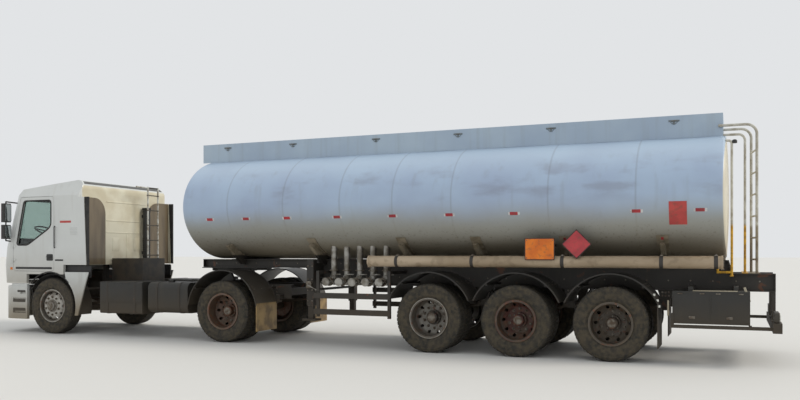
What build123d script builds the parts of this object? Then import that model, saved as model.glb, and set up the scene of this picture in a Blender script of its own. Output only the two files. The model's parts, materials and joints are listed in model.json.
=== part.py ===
"""Articulated road tanker: a two-axle tractor with a tilting cab, hinged to a three-axle tank trailer.

Millimetres, +Z up. Forward is -X and the left side is -Y. Places along the vehicle are measured back
from the front axle, and keep() moves each finished piece so that the origin lies on the ground under
the middle of the whole vehicle.
"""

import os
from math import cos, radians, sin

from build123d import *

os.makedirs("parts", exist_ok=True)

# Lengths of the whole vehicle
front_overhang = 1330.0
wheelbase = 3850.0
drive_to_trailer_axle = 3740.0
trailer_axle_step = 1350.0
tail_overhang = 2160.0
kingpin_ahead = 500.0

drive_x = wheelbase
trailer_axle_xs = [drive_x + drive_to_trailer_axle + i * trailer_axle_step for i in range(3)]
nose_x = -front_overhang
tail_x = trailer_axle_xs[-1] + tail_overhang
kingpin_x = drive_x - kingpin_ahead
middle_x = (nose_x + tail_x) / 2
body_half = 1250.0
gap = 6.0
turning_fit = 0.05
seat_gap = 0.3

# Wheels
wheel_r = 525.0
tyre_width = 290.0
twin_gap = 50.0
twin_step = tyre_width + twin_gap
tyre_inset = 10.0
seat_r = 292.0
bead_half = 108.0
flange_t = 12.0
flange_lip = 16.0
barrel_t = 14.0
disc_t = 12.0
hand_holes = 10
hand_hole_ring_r = 238.0
hand_hole_r = 25.0
spindle_r = 45.0
hub_r = 112.0
cap_r = 84.0
drum_r = 205.0
twin_y = body_half - tyre_inset - tyre_width / 2 - twin_step / 2
front_inset = 30.0
front_y = body_half - front_inset - tyre_width / 2
kingpin_y = front_y - tyre_width / 2

# Tractor frame
rail_over_axle = 445.0
rail_top = wheel_r + rail_over_axle
rail_depth = 250.0
rail_t = 8.0
rail_flange = 80.0
rail_half = 430.0
rail_front = -1050.0
rail_rear = drive_x + 890.0
rail_bottom = rail_top - rail_depth

# Cab
cab_half = 1220.0
cab_wall = 60.0
cab_bottom = rail_top - 25.0
cab_floor = rail_top + 330.0
cab_floor_t = 50.0
cab_skirt = rail_top + 150.0
cab_back = 720.0
cab_edge_r = 110.0
cab_corner_r = 170.0
cab_plan_r = 240.0
lean_z = cab_floor + 1300.0
lean_share = 0.42
arch_x = -30.0
arch_r = wheel_r + 105.0
tilt_x = nose_x + 60.0
tilt_z = rail_top - 40.0
fairing_low_x = cab_back + 135.0
fairing_high_x = cab_back + 80.0
fairing_top = cab_floor + 1260.0
lip_end = cab_back + 180.0

# Trailer
plate_z = rail_top + 280.0
plate_t = 12.0
beam_top = plate_z + 160.0
beam_y = 450.0
beam_flange = 140.0
beam_t = 12.0
neck_bottom = plate_z + plate_t
beam_bottom = plate_z - 270.0
neck_front = kingpin_x - 400.0
neck_end = kingpin_x + 1730.0
slope_end = neck_end + 320.0
beam_rear = tail_x - 50.0
tank_front = kingpin_x - 275.0
tank_rear = tail_x - 720.0
tank_half_w = 1250.0
tank_half_h = 900.0
tank_z = beam_top + tank_half_h + 10.0
trough_half = 450.0
trough_top = tank_z + 1170.0
trough_t = 12.0


def keep(piece, label):
    """Moves a finished piece to the shared origin, labels it and writes it."""
    moved = piece.part.moved(Location((-middle_x, 0, 0)))
    moved.label = label
    export_step(moved, f"parts/{label}.step")


def side_plane(y):
    """A plane seen from the left: its first axis is X, its second Z, and its normal is -Y."""
    return Plane(origin=(0, y, 0), x_dir=(1, 0, 0), z_dir=(0, -1, 0))


def cross_plane(x):
    """A plane across the vehicle: its first axis is Y, its second Z, and its normal is +X."""
    return Plane(origin=(x, 0, 0), x_dir=(0, 1, 0), z_dir=(1, 0, 0))


def outline(plane, points, corner=0.0):
    """A closed face through the points, with every corner rounded when a radius is given."""
    with BuildSketch(plane) as face:
        with BuildLine():
            Polyline(*points, close=True)
        make_face()
        if corner:
            fillet(face.vertices(), corner)
    return face.sketch


def slab(points, y_low, y_high, corner=0.0, mode=Mode.ADD):
    """A side-view outline made as thick as the stretch from y_low to y_high."""
    extrude(outline(side_plane(y_high), points, corner), amount=y_high - y_low, mode=mode)


def block(x, y, z, mode=Mode.ADD):
    """A box between two values on each axis."""
    with Locations(((x[0] + x[1]) / 2, (y[0] + y[1]) / 2, (z[0] + z[1]) / 2)):
        Box(x[1] - x[0], y[1] - y[0], z[1] - z[0], mode=mode)


def bar(start, end, r, mode=Mode.ADD):
    """A round bar from one point to another."""
    run = Vector(*end) - Vector(*start)
    with Locations(Plane(origin=start, z_dir=run)):
        Cylinder(r, run.length, align=(Align.CENTER, Align.CENTER, Align.MIN), mode=mode)


def wheel_plane(x, y, side):
    """A plane through an axle: its first axis runs outwards along the axle, its second up."""
    return Plane(origin=(x, y, wheel_r), x_dir=(0, side, 0), z_dir=(side, 0, 0))


def axle_line(x, y):
    return Axis((x, y, wheel_r), (0, 1, 0))


def tyre_ring(x, y, side):
    """One tyre: flat bead seat, bowed sidewalls, rounded shoulders and a slightly crowned tread."""
    half = tyre_width / 2
    crown = 6.0
    tread_half = half - 28.0
    shoulder_half = half - 12.0
    shoulder_r = wheel_r - 30.0
    belly_r = seat_r + 0.5 * (wheel_r - seat_r)
    bead_top = seat_r + flange_lip + 4.0
    with BuildPart() as ring:
        with BuildSketch(wheel_plane(x, y, side)):
            with BuildLine():
                Polyline((-bead_half, bead_top), (-bead_half, seat_r), (bead_half, seat_r), (bead_half, bead_top))
                ThreePointArc((bead_half, bead_top), (half, belly_r), (shoulder_half, shoulder_r))
                Line((shoulder_half, shoulder_r), (tread_half, wheel_r - crown))
                ThreePointArc((tread_half, wheel_r - crown), (0, wheel_r), (-tread_half, wheel_r - crown))
                Line((-tread_half, wheel_r - crown), (-shoulder_half, shoulder_r))
                ThreePointArc((-shoulder_half, shoulder_r), (-half, belly_r), (-bead_half, bead_top))
            make_face()
        revolve(axis=axle_line(x, y))
    return ring.part


def barrel_points(middle):
    """Half section of a rim's barrel with its two flanges, about its own middle."""
    low, high = middle - bead_half - flange_t, middle + bead_half + flange_t
    inner_r, lip_r = seat_r - barrel_t, seat_r + flange_lip
    return [(low, inner_r), (low, lip_r), (low + flange_t, lip_r), (low + flange_t, seat_r),
            (high - flange_t, seat_r), (high - flange_t, lip_r), (high, lip_r), (high, inner_r)]


def disc_points(face, root, way):
    """Half section of a dished wheel disc: flat on the hub at face, curving to the barrel at root."""
    inner_r = seat_r - barrel_t / 2
    knee_r = drum_r - 4.0
    mid = face + 0.35 * (root - face)
    return [(face, hub_r - 10), (face, knee_r), (mid, knee_r + 38), (root, inner_r),
            (root + way * disc_t, inner_r), (mid + way * disc_t, knee_r + 30),
            (face + way * disc_t, knee_r - 6), (face + way * disc_t, hub_r - 10)]


def wheel_centre(x, y, side, sections, holes_from, holes_to, bore_from, bore_to):
    """A rim with its disc, hub and drum turned about the axle, then pierced and bored for the spindle."""
    with BuildPart() as centre:
        with BuildSketch(wheel_plane(x, y, side)):
            for points in sections:
                with BuildLine():
                    Polyline(*points, close=True)
                make_face()
        revolve(axis=axle_line(x, y))
        hole_plane = Plane(origin=(x, y + side * holes_from, wheel_r), x_dir=(1, 0, 0), z_dir=(0, side, 0))
        with BuildSketch(hole_plane):
            with PolarLocations(hand_hole_ring_r, hand_holes):
                Circle(hand_hole_r)
        extrude(amount=holes_to - holes_from, mode=Mode.SUBTRACT)
        bar((x, y + side * bore_from, wheel_r), (x, y + side * bore_to, wheel_r),
            spindle_r + turning_fit, mode=Mode.SUBTRACT)
    return centre.part


drum_depth = 155.0
twin_bore_end = 60.0
twin_sections = [
    barrel_points(twin_step / 2),
    barrel_points(-twin_step / 2),
    disc_points(0, 82, 1),
    disc_points(0, -82, -1),
    [(-60 - drum_depth, 0), (-60 - drum_depth, drum_r), (-60, drum_r), (-60, hub_r), (70, hub_r),
     (70, cap_r), (142, cap_r), (150, cap_r - 12), (150, 0)],
]
front_bore_end = 112.0
front_sections = [
    barrel_points(0),
    disc_points(96, 24, 1),
    [(-72, 0), (-72, drum_r - 5), (60, drum_r - 5), (60, hub_r), (130, hub_r), (130, cap_r),
     (158, cap_r), (166, cap_r - 12), (166, 0)],
]

# Ten wheel bodies: the name, the place along the vehicle, the side, and whether it is a pair
wheel_table = [("front", 0.0, False), ("drive", drive_x, True)]
wheel_table += [(f"trailer_axle{i + 1}", x, True) for i, x in enumerate(trailer_axle_xs)]
for axle_name, axle_x, is_twin in wheel_table:
    for side_name, side in (("left", -1), ("right", 1)):
        wheel_y = side * (twin_y if is_twin else front_y)
        tyre_ys = [wheel_y - twin_step / 2, wheel_y + twin_step / 2] if is_twin else [wheel_y]
        with BuildPart() as tyres:
            for tyre_y in tyre_ys:
                add(tyre_ring(axle_x, tyre_y, side))
        with BuildPart() as rims:
            if is_twin:
                add(wheel_centre(axle_x, wheel_y, side, twin_sections, -100, 120, -240, twin_bore_end))
            else:
                add(wheel_centre(axle_x, wheel_y, side, front_sections, -60, 130, -90, front_bore_end))
        keep(tyres, f"{axle_name}_{side_name}_tyre" + ("s" if is_twin else ""))
        keep(rims, f"{axle_name}_{side_name}_rim" + ("s" if is_twin else ""))

# Steered axle: dropped beam with an eye at each end, and a knuckle with its spindle around each eye
pin_r = 22.0
eye_r = 50.0
eye_half = 60.0
lug_gap = 5.0
lug_t = 48.0
web_in = 54.0
web_out = 66.0
knuckle_half = 45.0
for side_name, side in (("left", -1), ("right", 1)):
    with BuildPart() as knuckle:
        pin_y = side * kingpin_y
        lug_top = eye_half + lug_gap + lug_t
        for low in (-lug_top, eye_half + lug_gap):
            bar((0, pin_y, wheel_r + low), (0, pin_y, wheel_r + low + lug_t), knuckle_half)
            ys = sorted((pin_y, pin_y + side * web_out))
            block((-knuckle_half, knuckle_half), ys, (wheel_r + low, wheel_r + low + lug_t))
        ys = sorted((pin_y + side * web_in, pin_y + side * web_out))
        block((-knuckle_half, knuckle_half), ys, (wheel_r - lug_top, wheel_r + lug_top))
        bar((0, pin_y, wheel_r - lug_top), (0, pin_y, wheel_r + lug_top), pin_r)
        bar((0, pin_y + side * web_in, wheel_r), (0, side * (front_y + front_bore_end - 8), wheel_r), spindle_r)
    keep(knuckle, f"{side_name}_knuckle")

spring_t = 62.0
spring_w = 80.0
front_spring_half = 720.0
drive_spring_half = 700.0
front_spring_y = 390.0
drive_spring_y = rail_half + 90.0
trailer_spring_y = beam_y
tube_r = 64.0
drive_tube_r = 72.0
tube_end = twin_y - 225.0


def leaf_spring(x, y, half_length, seat_z, eye_z):
    """A pack of leaves bowed down to the axle seat, with a rolled eye at each end."""
    leaf_r = spring_t / 2
    with BuildPart() as spring:
        with BuildSketch(side_plane(y + spring_w / 2)):
            with BuildLine():
                ThreePointArc((x - half_length, eye_z - leaf_r), (x, seat_z), (x + half_length, eye_z - leaf_r))
                Line((x + half_length, eye_z - leaf_r), (x + half_length, eye_z - 6))
                ThreePointArc((x + half_length, eye_z - 6), (x, seat_z + spring_t), (x - half_length, eye_z - 6))
                Line((x - half_length, eye_z - 6), (x - half_length, eye_z - leaf_r))
            make_face()
        extrude(amount=spring_w)
        for end in (x - half_length, x + half_length):
            bar((end, y - spring_w / 2, eye_z), (end, y + spring_w / 2, eye_z), leaf_r)
    return spring.part


beam_drop = 84.0
beam_half = 45.0
spring_sink = 3.0
front_seat_z = wheel_r - beam_drop + beam_half - spring_sink
front_eye_z = rail_bottom - spring_t / 2
with BuildPart() as tractor_axles:
    arm = [(kingpin_y - 50, -beam_half), (kingpin_y - 50, beam_half), (kingpin_y - 130, beam_half),
           (kingpin_y - 240, beam_half - beam_drop), (0, beam_half - beam_drop), (0, -beam_half - beam_drop),
           (kingpin_y - 200, -beam_half - beam_drop), (kingpin_y - 100, -beam_half)]
    extrude(outline(cross_plane(-beam_half), [(y, wheel_r + z) for y, z in arm]), amount=2 * beam_half)
    block((-30, 30), (kingpin_y - 60, kingpin_y), (wheel_r - 40, wheel_r + 40))
    bar((0, kingpin_y, wheel_r - eye_half), (0, kingpin_y, wheel_r + eye_half), eye_r)
    bar((0, kingpin_y, wheel_r - 90), (0, kingpin_y, wheel_r + 90), pin_r + turning_fit, mode=Mode.SUBTRACT)
    mirror(about=Plane.XZ)
    housing = [(0, 0), (0, 200), (90, 195), (230, 90), (330, drive_tube_r), (tube_end - 80, drive_tube_r),
               (tube_end - 60, tube_r), (tube_end, tube_r), (tube_end, spindle_r),
               (twin_y + twin_bore_end - 8, spindle_r), (twin_y + twin_bore_end - 8, 0)]
    with BuildPart(mode=Mode.PRIVATE) as drive_axle:
        with BuildSketch(wheel_plane(drive_x, 0, 1)):
            with BuildLine():
                Polyline(*housing, close=True)
            make_face()
        revolve(axis=axle_line(drive_x, 0))
        mirror(about=Plane.XZ)
        with Locations(Plane(origin=(drive_x - 120, 0, wheel_r), z_dir=(-1, 0, 0))):
            Cone(150, 80, 260, align=(Align.CENTER, Align.CENTER, Align.MIN))
    add(drive_axle.part)

drive_eye_z = rail_bottom - spring_t / 2
with BuildPart() as tractor_suspension:
    add(tractor_axles.part)
    for side in (-1, 1):
        add(leaf_spring(0, side * front_spring_y, front_spring_half, front_seat_z, front_eye_z))
        add(leaf_spring(drive_x, side * drive_spring_y, drive_spring_half, wheel_r + drive_tube_r - spring_sink,
                        drive_eye_z))
keep(tractor_suspension, "tractor_suspension")

# Tractor frame: two channel rails, their cross members, hangers and the cab's front hinge brackets
lug_y = rail_half + 100.0
lug_half = 30.0
lug_side_gap = 10.0
tilt_pin_r = 15.0
cross_xs = [rail_front + 50, 560.0, 1330.0, drive_x - 1500, drive_x - 550, drive_x + 550, rail_rear - 50]
with BuildPart() as tractor_frame:
    bracket_y = (lug_y - lug_half - lug_side_gap - 30, lug_y - lug_half - lug_side_gap)
    channel = [(rail_half, rail_bottom), (rail_half, rail_top), (rail_half - rail_flange, rail_top),
               (rail_half - rail_flange, rail_top - rail_t), (rail_half - rail_t, rail_top - rail_t),
               (rail_half - rail_t, rail_bottom + rail_t), (rail_half - rail_flange, rail_bottom + rail_t),
               (rail_half - rail_flange, rail_bottom)]
    extrude(outline(cross_plane(rail_front), channel), amount=rail_rear - rail_front)
    block((tilt_x - 30, rail_front + 60), bracket_y, (tilt_z - 38, tilt_z + 25))
    block((rail_front, rail_front + 60), (rail_half - rail_t, bracket_y[1]), (tilt_z - 70, tilt_z + 25))
    bar((tilt_x, bracket_y[0], tilt_z), (tilt_x, lug_y + lug_half, tilt_z), tilt_pin_r)
    block((nose_x + 60, rail_front + 40), (rail_half - rail_t, rail_half + 30), (rail_bottom, rail_bottom + 90))
    block((cab_back - 200, cab_back - 120), (rail_half - rail_flange, rail_half), (rail_top, cab_floor - seat_gap))
    for hanger_x in (drive_x - drive_spring_half, drive_x + drive_spring_half):
        block((hanger_x - 45, hanger_x + 45), (rail_half, drive_spring_y + spring_w / 2 + 6),
              (rail_bottom, rail_bottom + 70))
    mirror(about=Plane.XZ)
    for cross_x in cross_xs:
        block((cross_x - 40, cross_x + 40), (-rail_half + rail_t, rail_half - rail_t),
              (rail_bottom + 60, rail_bottom + 180))
keep(tractor_frame, "tractor_frame")

engine_x = (-820.0, 420.0)
with BuildPart() as engine:
    block(engine_x, (-rail_half + 95, rail_half - 95), (rail_bottom - 80, rail_top + 220))
    fillet(engine.edges().filter_by(Axis.X), 60)
    fillet(engine.faces().filter_by(Axis.X).edges(), 25)
    for mount_x in (-600.0, 250.0):
        block((mount_x - 40, mount_x + 40), (-rail_half + rail_t + seat_gap, rail_half - rail_t - seat_gap),
              (rail_bottom + 60, rail_bottom + 130))
keep(engine, "engine")

# Cab body: a side outline with rounded corners, hollowed to one wall thickness over a flat floor
screen_low = (nose_x + 55, cab_floor + 340)
screen_high = (nose_x + 365, cab_floor + 1340)
brow = (nose_x + 490, cab_floor + 1445)
cab_side = [(nose_x + 40, cab_bottom), (nose_x + 15, cab_floor), screen_low, screen_high, brow,
            (cab_back, cab_floor + 1605)]


def corner_waste(inset):
    """What is cut away to round both front corners in plan, in steps that lean as the front leans."""
    half, r, over = cab_half - inset, cab_plan_r - inset, 50.0
    heights = [(cab_side[0][0], cab_bottom - 300), *cab_side[:5], (brow[0] + 1.2 * over, brow[1] + over)]
    with BuildPart() as waste:
        for (x, z), (next_x, next_z) in zip(heights, heights[1:]):
            front = x + inset
            with BuildSketch(Plane.XY.offset(z)) as spandrel:
                with BuildLine():
                    Polyline((front + r, half), (front + r, half + over), (front - over, half + over),
                             (front - over, half - r), (front, half - r))
                    RadiusArc((front, half - r), (front + r, half), r)
                make_face()
            run = Vector(next_x - x, 0, next_z - z)
            extrude(spandrel.sketch, amount=run.length, dir=run)
        mirror(about=Plane.XZ)
    return waste.part


def lean_waste(inset):
    """What is cut away so that the cab's sides lean in above the doors."""
    half, rise, over = cab_half - inset, 400.0, 80.0
    wedge = [(half, lean_z), (half + over, lean_z), (half + over, lean_z + rise),
             (half - lean_share * rise, lean_z + rise)]
    with BuildPart() as waste:
        extrude(outline(cross_plane(nose_x - over), wedge), amount=cab_back - nose_x + 2 * over)
        mirror(about=Plane.XZ)
    return waste.part


def cab_body(half, inset, bottom):
    """The cab's closed outer form, or the same form drawn in by a wall, down to the given height."""
    points = [(cab_side[0][0], bottom)] + cab_side[1:] + [(cab_back, bottom)]
    with BuildPart() as body:
        with BuildSketch(side_plane(half)) as face:
            with BuildLine():
                Polyline(*points, close=True)
            make_face()
            rounded = face.vertices().filter_by(lambda v: v.Y > bottom + 200)
            fillet(rounded, cab_corner_r)
            if inset:
                offset(amount=-inset)
        extrude(amount=2 * half)
        side_edges = body.edges().filter_by(lambda e: abs(abs(e.center().Y) - half) < 1)
        fillet(side_edges.filter_by(lambda e: e.center().Z > bottom + inset + 5), cab_edge_r - inset)
        add(corner_waste(inset), mode=Mode.SUBTRACT)
        add(lean_waste(inset), mode=Mode.SUBTRACT)
    return body.part


fairing_t = 45.0
board_in = cab_half - 620.0
board_round = 300.0


def corner_board():
    """The slanted board that closes the corner between the back wall and a side fairing, round at its top."""
    plan = [(cab_back - 2, board_in), (cab_back + 18, board_in), (fairing_high_x - 10, cab_half - fairing_t - 25),
            (fairing_high_x - 10, cab_half - 10), (cab_back - 2, cab_half - 10)]
    with BuildPart() as board:
        extrude(outline(Plane.XY.offset(cab_floor), plan), amount=fairing_top - cab_floor)
        with BuildSketch(cross_plane(cab_back - 50)) as face:
            with BuildLine():
                Polyline((board_in, cab_floor), (cab_half, cab_floor), (cab_half, fairing_top),
                         (board_in, fairing_top), close=True)
            make_face()
            fillet(face.vertices().filter_by(lambda v: v.Y > fairing_top - 1 and v.X < board_in + 1), board_round)
        extrude(face.sketch, amount=200, mode=Mode.INTERSECT)
    return board.part


cab_outer = cab_body(cab_half, 0.0, cab_bottom)
with BuildPart() as cab_wall_form:
    add(cab_outer)
    inner = cab_body(cab_half - cab_wall, cab_wall, cab_bottom - 300)
    upper = split(inner, bisect_by=Plane.XY.offset(cab_floor + cab_floor_t), keep=Keep.TOP, mode=Mode.PRIVATE)
    lower = split(inner, bisect_by=Plane.XY.offset(cab_floor), keep=Keep.BOTTOM, mode=Mode.PRIVATE)
    add(upper, mode=Mode.SUBTRACT)
    add(lower, mode=Mode.SUBTRACT)

door_front = -960.0
door_rear = 67.0
door_low = cab_floor - 120.0
door_high = cab_floor + 1285.0
door_points = [(door_front, door_low), (door_rear, door_low), (door_rear, door_high),
               (door_front + 195, door_high), (door_front, cab_floor + 390)]
window_low = cab_floor + 375.0
window_high = door_high - 70.0
window_points = [(door_front + 80, window_low), (door_front + 360, window_low), (door_rear - 127, window_low + 310),
                 (door_rear - 72, window_low + 385), (door_rear - 72, window_high), (door_front + 270, window_high)]
hinge_x = door_front - gap / 2
hinge_r = 12.0
hinge_y = cab_half + hinge_r + 0.5
hinge_pin_r = 6.0
hinge_h = 40.0
hinge_zs = (cab_floor + 30, cab_floor + 300)
panel_low = cab_floor - 310.0
panel_high = cab_floor + 260.0
panel_half = cab_half - 320.0
panel_back = nose_x + 130.0
screen_run = Vector(screen_high[0] - screen_low[0], 0, screen_high[1] - screen_low[1])
screen_plane = Plane(origin=((screen_low[0] + screen_high[0]) / 2, 0, (screen_low[1] + screen_high[1]) / 2),
                     x_dir=(0, -1, 0), z_dir=(-screen_run.Z, 0, screen_run.X))
screen_w = 2 * cab_half - 400.0
screen_h = 880.0
screen_points = [(-screen_w / 2, -screen_h / 2), (screen_w / 2, -screen_h / 2),
                 (screen_w / 2, screen_h / 2), (-screen_w / 2, screen_h / 2)]
screen_corner = 70.0


def door_outline(y_low, y_high, grow, mode):
    """The door's side outline, grown by a gap when it is the opening."""
    with BuildSketch(side_plane(y_high)) as face:
        with BuildLine():
            Polyline(*door_points, close=True)
        make_face()
        fillet(face.vertices(), 60)
        if grow:
            offset(amount=grow)
    extrude(face.sketch, amount=y_high - y_low, mode=mode)


with BuildPart() as cab_shell:
    add(cab_wall_form.part)
    block((300, cab_back + 10), (-cab_half, cab_half), (cab_bottom - 10, cab_floor), mode=Mode.SUBTRACT)
    block((arch_x - 0.94 * arch_r, 310), (-cab_half, cab_half), (cab_bottom - 10, cab_skirt), mode=Mode.SUBTRACT)
    bar((arch_x, -cab_half, wheel_r), (arch_x, cab_half, wheel_r), arch_r, mode=Mode.SUBTRACT)
    for side in (-1, 1):
        ys = sorted((side * (cab_half - cab_wall - 20), side * (cab_half + 20)))
        door_outline(ys[0], ys[1], gap, Mode.SUBTRACT)
        block((nose_x, tilt_x + 50), sorted((side * (bracket_y[0] - 8), side * (bracket_y[1] + 8))),
              (cab_bottom - 10, tilt_z + 45), mode=Mode.SUBTRACT)
    extrude(outline(screen_plane, screen_points, screen_corner), amount=120, both=True, mode=Mode.SUBTRACT)
    block((nose_x, panel_back), (-panel_half - gap / 2, panel_half + gap / 2),
          (panel_low - gap / 2, panel_high + gap / 2), mode=Mode.SUBTRACT)
    with BuildPart(mode=Mode.PRIVATE) as side_extras:
        slab([(cab_back - cab_edge_r, cab_floor), (fairing_low_x, cab_floor), (fairing_high_x, fairing_top),
              (cab_back - cab_edge_r, fairing_top)], cab_half - fairing_t, cab_half, 8)
        add(corner_board())
        block((tilt_x - 30, tilt_x + 90), (lug_y - lug_half, lug_y + lug_half), (tilt_z, panel_low - gap))
        bar((tilt_x, lug_y - lug_half, tilt_z), (tilt_x, lug_y + lug_half, tilt_z), 32)
        bar((tilt_x, lug_y - 100, tilt_z), (tilt_x, lug_y + 100, tilt_z), tilt_pin_r + turning_fit,
            mode=Mode.SUBTRACT)
        for z in hinge_zs:
            bar((hinge_x, hinge_y, z), (hinge_x, hinge_y, z + hinge_h), hinge_r)
            block((hinge_x - 60, hinge_x), (cab_half, cab_half + 9), (z, z + hinge_h))
            bar((hinge_x, hinge_y, z), (hinge_x, hinge_y, z + 2 * hinge_h), hinge_pin_r)
        mirror(about=Plane.XZ)
    add(side_extras.part)
keep(cab_shell, "cab_shell")

with BuildPart() as fairing_lips:
    slab([(fairing_low_x, cab_floor), (lip_end, cab_floor), (lip_end, fairing_top), (fairing_high_x, fairing_top)],
         cab_half - 36, cab_half - 12)
    mirror(about=Plane.XZ)
keep(fairing_lips, "fairing_lips")

grille_slots = 7
grille_pitch = 62.0
with BuildPart() as front_panel:
    add(cab_wall_form.part)
    with Locations(((nose_x + panel_back) / 2, 0, (panel_low + panel_high) / 2)):
        Box(panel_back - nose_x, 2 * panel_half - gap, panel_high - panel_low - gap, mode=Mode.INTERSECT)
    with Locations((nose_x + 40, 0, (panel_low + panel_high) / 2 - 25)):
        for i in range(grille_slots):
            with Locations((0, 0, (i - (grille_slots - 1) / 2) * grille_pitch)):
                Box(200, 2 * panel_half - 400, grille_pitch - 28, mode=Mode.SUBTRACT)
    with BuildPart(mode=Mode.PRIVATE) as tabs:
        for side in (-1, 1):
            block((nose_x + 55, nose_x + 105), sorted((side * (panel_half - 40), side * (panel_half + 30))),
                  (panel_low + 120, panel_low + 190))
        add(cab_wall_form.part, mode=Mode.SUBTRACT)
    add(tabs.part)
keep(front_panel, "front_panel")

with BuildPart() as windscreen:
    extrude(outline(screen_plane.offset(-30), screen_points, screen_corner), amount=8)
keep(windscreen, "windscreen")

glass_t = 6.0
for side_name, side in (("left", -1), ("right", 1)):
    with BuildPart() as door:
        ys = sorted((side * (cab_half - cab_wall), side * cab_half))
        door_outline(ys[0], ys[1], 0, Mode.ADD)
        slab(window_points, ys[0] - 5, ys[1] + 5, 45, Mode.SUBTRACT)
        for z in hinge_zs:
            low = z + hinge_h + 1
            bar((hinge_x, side * hinge_y, low), (hinge_x, side * hinge_y, low + hinge_h - 1), hinge_r)
            strap = sorted((side * cab_half, side * (cab_half + 9)))
            block((hinge_x, hinge_x + 66), strap, (low, low + hinge_h - 1))
            bar((hinge_x, side * hinge_y, z), (hinge_x, side * hinge_y, z + 3 * hinge_h),
                hinge_pin_r + turning_fit, mode=Mode.SUBTRACT)
    keep(door, f"{side_name}_door")
    with BuildPart() as glass:
        ys = sorted((side * (cab_half - 30), side * (cab_half - 30 - glass_t)))
        slab(window_points, ys[0], ys[1], 45)
    keep(glass, f"{side_name}_door_glass")

# Inside the cab: two seats on boxes, and a dashboard with the steering column and wheel
floor_top = cab_floor + cab_floor_t
seat_x = -330.0
with BuildPart() as seats:
    for seat_y in (-560.0, 560.0):
        block((seat_x - 180, seat_x + 190), (seat_y - 190, seat_y + 190), (floor_top, floor_top + 290))
        block((seat_x - 270, seat_x + 230), (seat_y - 245, seat_y + 245), (floor_top + 290, floor_top + 420))
        slab([(seat_x + 150, floor_top + 420), (seat_x + 260, floor_top + 420), (seat_x + 400, floor_top + 1080),
              (seat_x + 310, floor_top + 1100)], seat_y - 230, seat_y + 230, 25)
keep(seats, "seats")

dash_half = cab_half - 160.0
dash_x = nose_x + 150.0
wheel_centre_point = (dash_x + 380, -560.0, floor_top + 610)
with BuildPart() as dashboard:
    slab([(dash_x, floor_top), (dash_x + 70, floor_top), (dash_x + 170, floor_top + 150),
          (dash_x + 290, floor_top + 370), (dash_x + 250, floor_top + 450), (dash_x + 50, floor_top + 465),
          (dash_x + 5, floor_top + 340)], -dash_half, dash_half)
    lean = Vector(0.42, 0, 0.91).normalized()
    centre_point = Vector(*wheel_centre_point)
    foot = centre_point - lean * 250
    bar((foot.X, foot.Y, foot.Z), wheel_centre_point, 32)
    with Locations(Plane(origin=wheel_centre_point, z_dir=lean)):
        Torus(225, 15)
        for spoke_turn in (0, 120, 240):
            with Locations(Location((0, 0, 0), (0, 0, spoke_turn))):
                Box(225, 34, 14, align=(Align.MIN, Align.CENTER, Align.CENTER))
keep(dashboard, "dashboard")

# Mirrors: on each side a tall and a low head on two arms from the pillar, ahead of the door's swing
mirror_y = (cab_half + 45, cab_half + 205)
mirror_x = (door_front - 115, door_front)
mirror_heads = [(490.0, 760.0), (810.0, 1170.0)]
arm_r = 13.0
with BuildPart() as mirrors:
    pole = (door_front - 60, cab_half + 125)
    for low, high in mirror_heads:
        block(mirror_x, mirror_y, (cab_floor + low, cab_floor + high))
    fillet(mirrors.edges().filter_by(Axis.Z), 35)
    bar((*pole, cab_floor + 455), (*pole, cab_floor + 1210), arm_r)
    bar((*pole, cab_floor + 1205), (door_front + 60, cab_half - 100, cab_floor + 1180), arm_r)
    bar((*pole, cab_floor + 460), (door_front - 110, cab_half - 60, cab_floor + 445), arm_r)
    mirror(about=Plane.XZ)
    add(cab_outer, mode=Mode.SUBTRACT)
keep(mirrors, "mirrors")

duct_r = 72.0
duct_x = cab_back + 22 + duct_r
duct_y = 470.0
with BuildPart() as intake_duct:
    bar((duct_x, duct_y, cab_floor + 100), (duct_x, duct_y, cab_floor + 1100), duct_r)
    for z in (cab_floor + 200, cab_floor + 940):
        block((cab_back, duct_x), (duct_y - 30, duct_y + 30), (z, z + 60))
    block((duct_x - 60, duct_x + 60), (duct_y - 60, duct_y + 60), (cab_floor + 1100, cab_floor + 1140))
keep(intake_duct, "intake_duct")

# Bumper: a wrapped beam in plan, with a lamp pocket on each side, a low intake and steps cut in its ends
bumper_low = 260.0
bumper_high = cab_bottom - 60.0
bumper_wall = 60.0
bumper_r = 370.0
bumper_rear = -wheel_r - 85.0
lamp_y = (cab_half - 540, cab_half - 240)
lamp_z = (600.0, 790.0)
lamp_sink = 12.0
step_slots = [(-975.0, 372.0, 415.0), (-975.0, 628.0, 662.0), (-790.0, 738.0, 770.0)]


def bumper_plan(z, inset):
    """The bumper's outline in plan at a height, or the same outline drawn in."""
    half, nose, rear = cab_half - inset, nose_x + inset, bumper_rear + (10 if inset else 0)
    with BuildSketch(Plane.XY.offset(z)) as plan:
        with BuildLine():
            FilletPolyline((rear, -half), (nose, -half), (nose, half), (rear, half), radius=bumper_r - inset)
            Line((rear, half), (rear, -half))
        make_face()
    return plan.sketch


with BuildPart() as bumper:
    extrude(bumper_plan(bumper_low, 0.0), amount=bumper_high - bumper_low)
    extrude(bumper_plan(bumper_low, bumper_wall), amount=bumper_high - bumper_low, mode=Mode.SUBTRACT)
    for side in (-1, 1):
        block((nose_x - 5, nose_x + 50), sorted((side * lamp_y[0], side * lamp_y[1])), lamp_z, mode=Mode.SUBTRACT)
        for slot_front, low, high in step_slots:
            block((slot_front, bumper_rear - 30), sorted((side * (cab_half - 28), side * (cab_half + 5))),
                  (low, high), mode=Mode.SUBTRACT)
    block((nose_x - 5, nose_x + 100), (-330, 330), (400, 560), mode=Mode.SUBTRACT)
keep(bumper, "bumper")

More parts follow.
